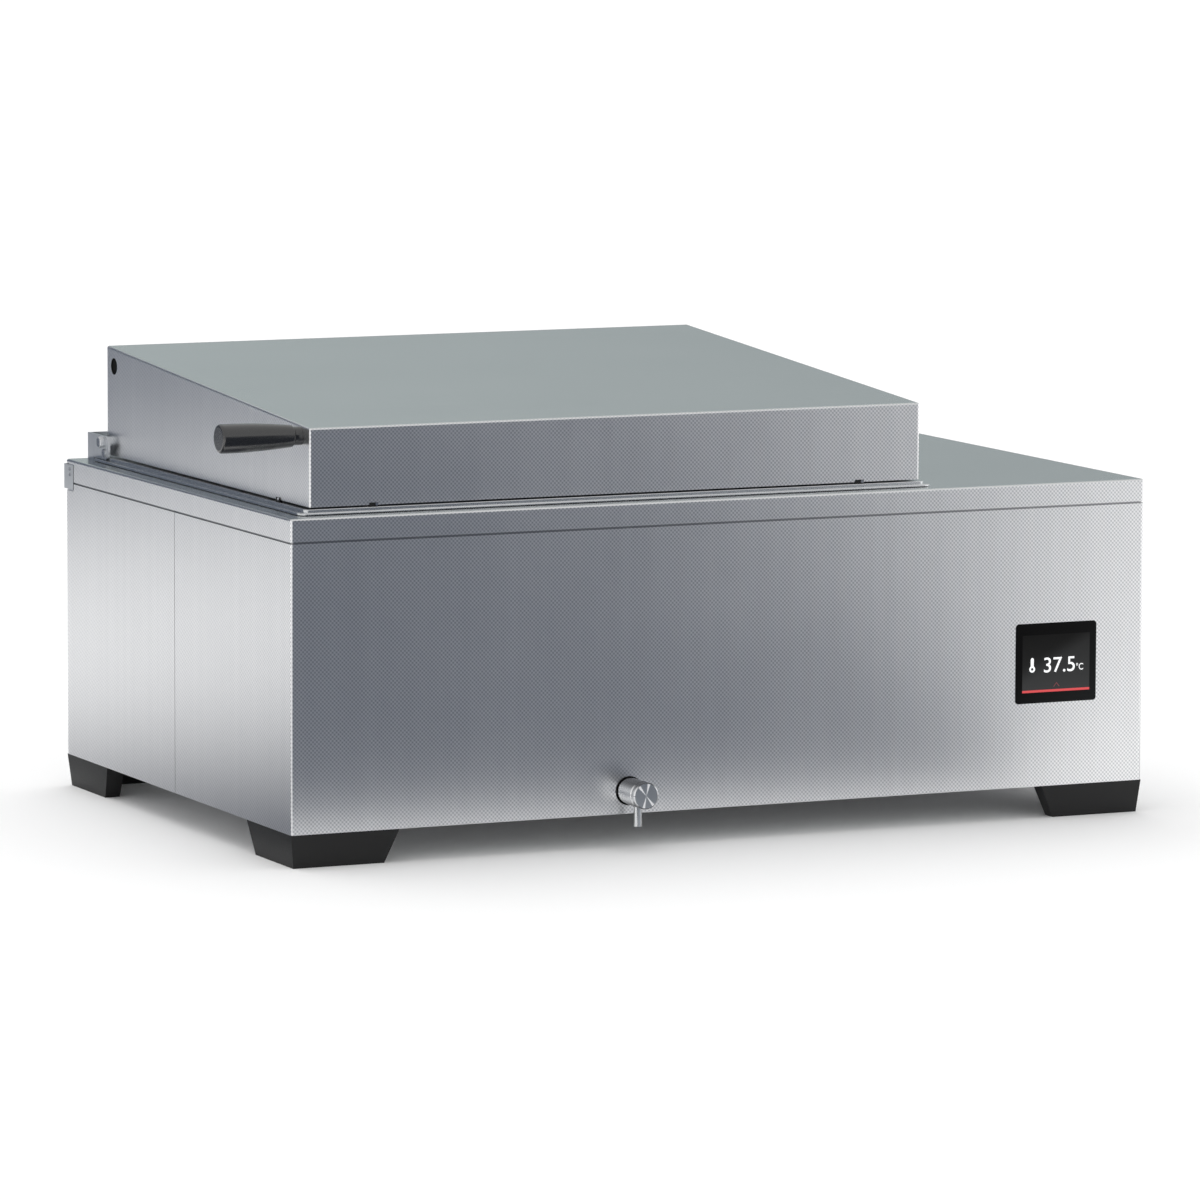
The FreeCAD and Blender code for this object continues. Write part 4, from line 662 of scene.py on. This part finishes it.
def makeCard(name, tones, spots, height=0.0, axis=0):
    # A studio card seen only in the steel: a patch near the floor, an upright card over two spots,
    # or both; the two tones run along the axis
    lift = 3 * mm
    mesh = bmesh.new()
    foot = [mesh.verts.new((x, y, lift)) for x, y in spots]
    if len(foot) > 2:
        mesh.faces.new(foot)
    far = mesh.edges.new(foot[:2]) if len(foot) == 2 else mesh.edges.get(foot[-2:])
    if height:
        raised = bmesh.ops.extrude_edge_only(mesh, edges=[far])
        for item in raised["geom"]:
            if isinstance(item, bmesh.types.BMVert):
                item.co.z += height
    data = bpy.data.meshes.new(name)
    mesh.to_mesh(data)
    mesh.free()
    cloth = Finish(name + "Cloth", (0.0, 0.0, 0.0), 1.0, Specular_IOR_Level=0.0, Emission_Strength=1.0)
    along = cloth.split(cloth.place)[axis]
    ends = [spot[axis] for spot in spots]
    cloth.set("Emission Color", cloth.tint(along.fade(min(ends), max(ends)), *tones))
    data.materials.append(cloth.material)
    card = bpy.data.objects.new(name, data)
    bpy.context.scene.collection.objects.link(card)
    card.visible_camera = False
    card.visible_diffuse = False
    card.visible_shadow = False
    card.visible_transmission = False


def makeCards():
    look = {"slope": 0.52, "edge": 0.33, "near": -0.43, "far": -3.2}  # slope: as the front mirrors the view
    near, far = look["near"], look["far"]

    def edgeX(y):
        # The slate card's right edge runs along the mirrored line of sight
        return look["edge"] + look["slope"] * (cadBounds[0][1] - y)

    # Slate card in front, to the left: shades the left of the front
    makeCard("frontCard", ((0.118, 0.133, 0.165), (0.10, 0.113, 0.145)),
             ((-0.80, near), (edgeX(near), near), (edgeX(far), far), (-1.2, far)), height=1.3)
    # White card in front, to the right: lifts the right end of the front
    makeCard("whiteCard", ((1.22, 1.22, 1.22), (1.7, 1.7, 1.7)), ((edgeX(far) + 0.3, far), (5.5, -1.2)),
             height=1.8)
    # Patch beside the front left foot: shades the low front corner of the left side
    makeCard("sideCard", ((0.11, 0.12, 0.145), (1.06, 1.06, 1.06)),
             patch(left=-1.1, right=-0.41, front=-0.26, back=1.15), axis=1)
    # Patches beside the right side and behind the back, for the views from there
    makeCard("rightCard", ((0.16, 0.17, 0.195), (1.0, 1.0, 1.0)),
             patch(left=0.46, right=1.15, front=-0.26, back=1.15), axis=1)
    makeCard("rearCard", ((0.22, 0.23, 0.255), (1.0, 1.0, 1.0)),
             patch(left=-0.39, right=1.1, front=0.34, back=1.0))
    # Slate card behind, to the left: shades the lid's left wall and the rim beside it
    makeCard("backCard", ((0.10, 0.12, 0.16), (0.10, 0.12, 0.16)), ((-5.0, 2.5), (-0.25, 2.5)), height=1.7)
    # Grey card behind, to the right: the even grey of the top faces
    makeCard("topCard", ((0.425, 0.47, 0.475), (0.27, 0.30, 0.31)), ((-0.25, 2.5), (3.8, 2.5)), height=2.0)


def makeCamera():
    look = {"lens": 225.53, "azimuth": 24.85, "down": 7.06, "roll": 0.21, "sensor": 36, "sight": 200,
            "place": (-2.79477, -6.07457, 1.01263), "shiftY": -0.00137}
    azimuth, down, roll = (math.radians(look[key]) for key in ("azimuth", "down", "roll"))
    ahead = Vector((math.sin(azimuth) * math.cos(down), math.cos(azimuth) * math.cos(down), -math.sin(down)))
    right = Vector((math.cos(azimuth), -math.sin(azimuth), 0))
    up = right.cross(ahead)
    tiltedRight = right * math.cos(roll) + up * math.sin(roll)
    tiltedUp = up * math.cos(roll) - right * math.sin(roll)
    data = bpy.data.cameras.new("camera")
    data.lens = look["lens"]
    data.sensor_width = look["sensor"]
    data.sensor_fit = "HORIZONTAL"
    data.shift_y = look["shiftY"]
    data.clip_end = look["sight"]
    camera = bpy.data.objects.new("camera", data)
    turn = Matrix((tiltedRight, tiltedUp, -ahead)).transposed().to_4x4()
    camera.matrix_world = Matrix.Translation(look["place"]) @ turn
    bpy.context.scene.collection.objects.link(camera)
    bpy.context.scene.camera = camera


makeFloor()
makeRoom()
makeSun()
makeCards()
makeCamera()
bpy.context.scene.view_settings.view_transform = "Standard"
print("studio ready")
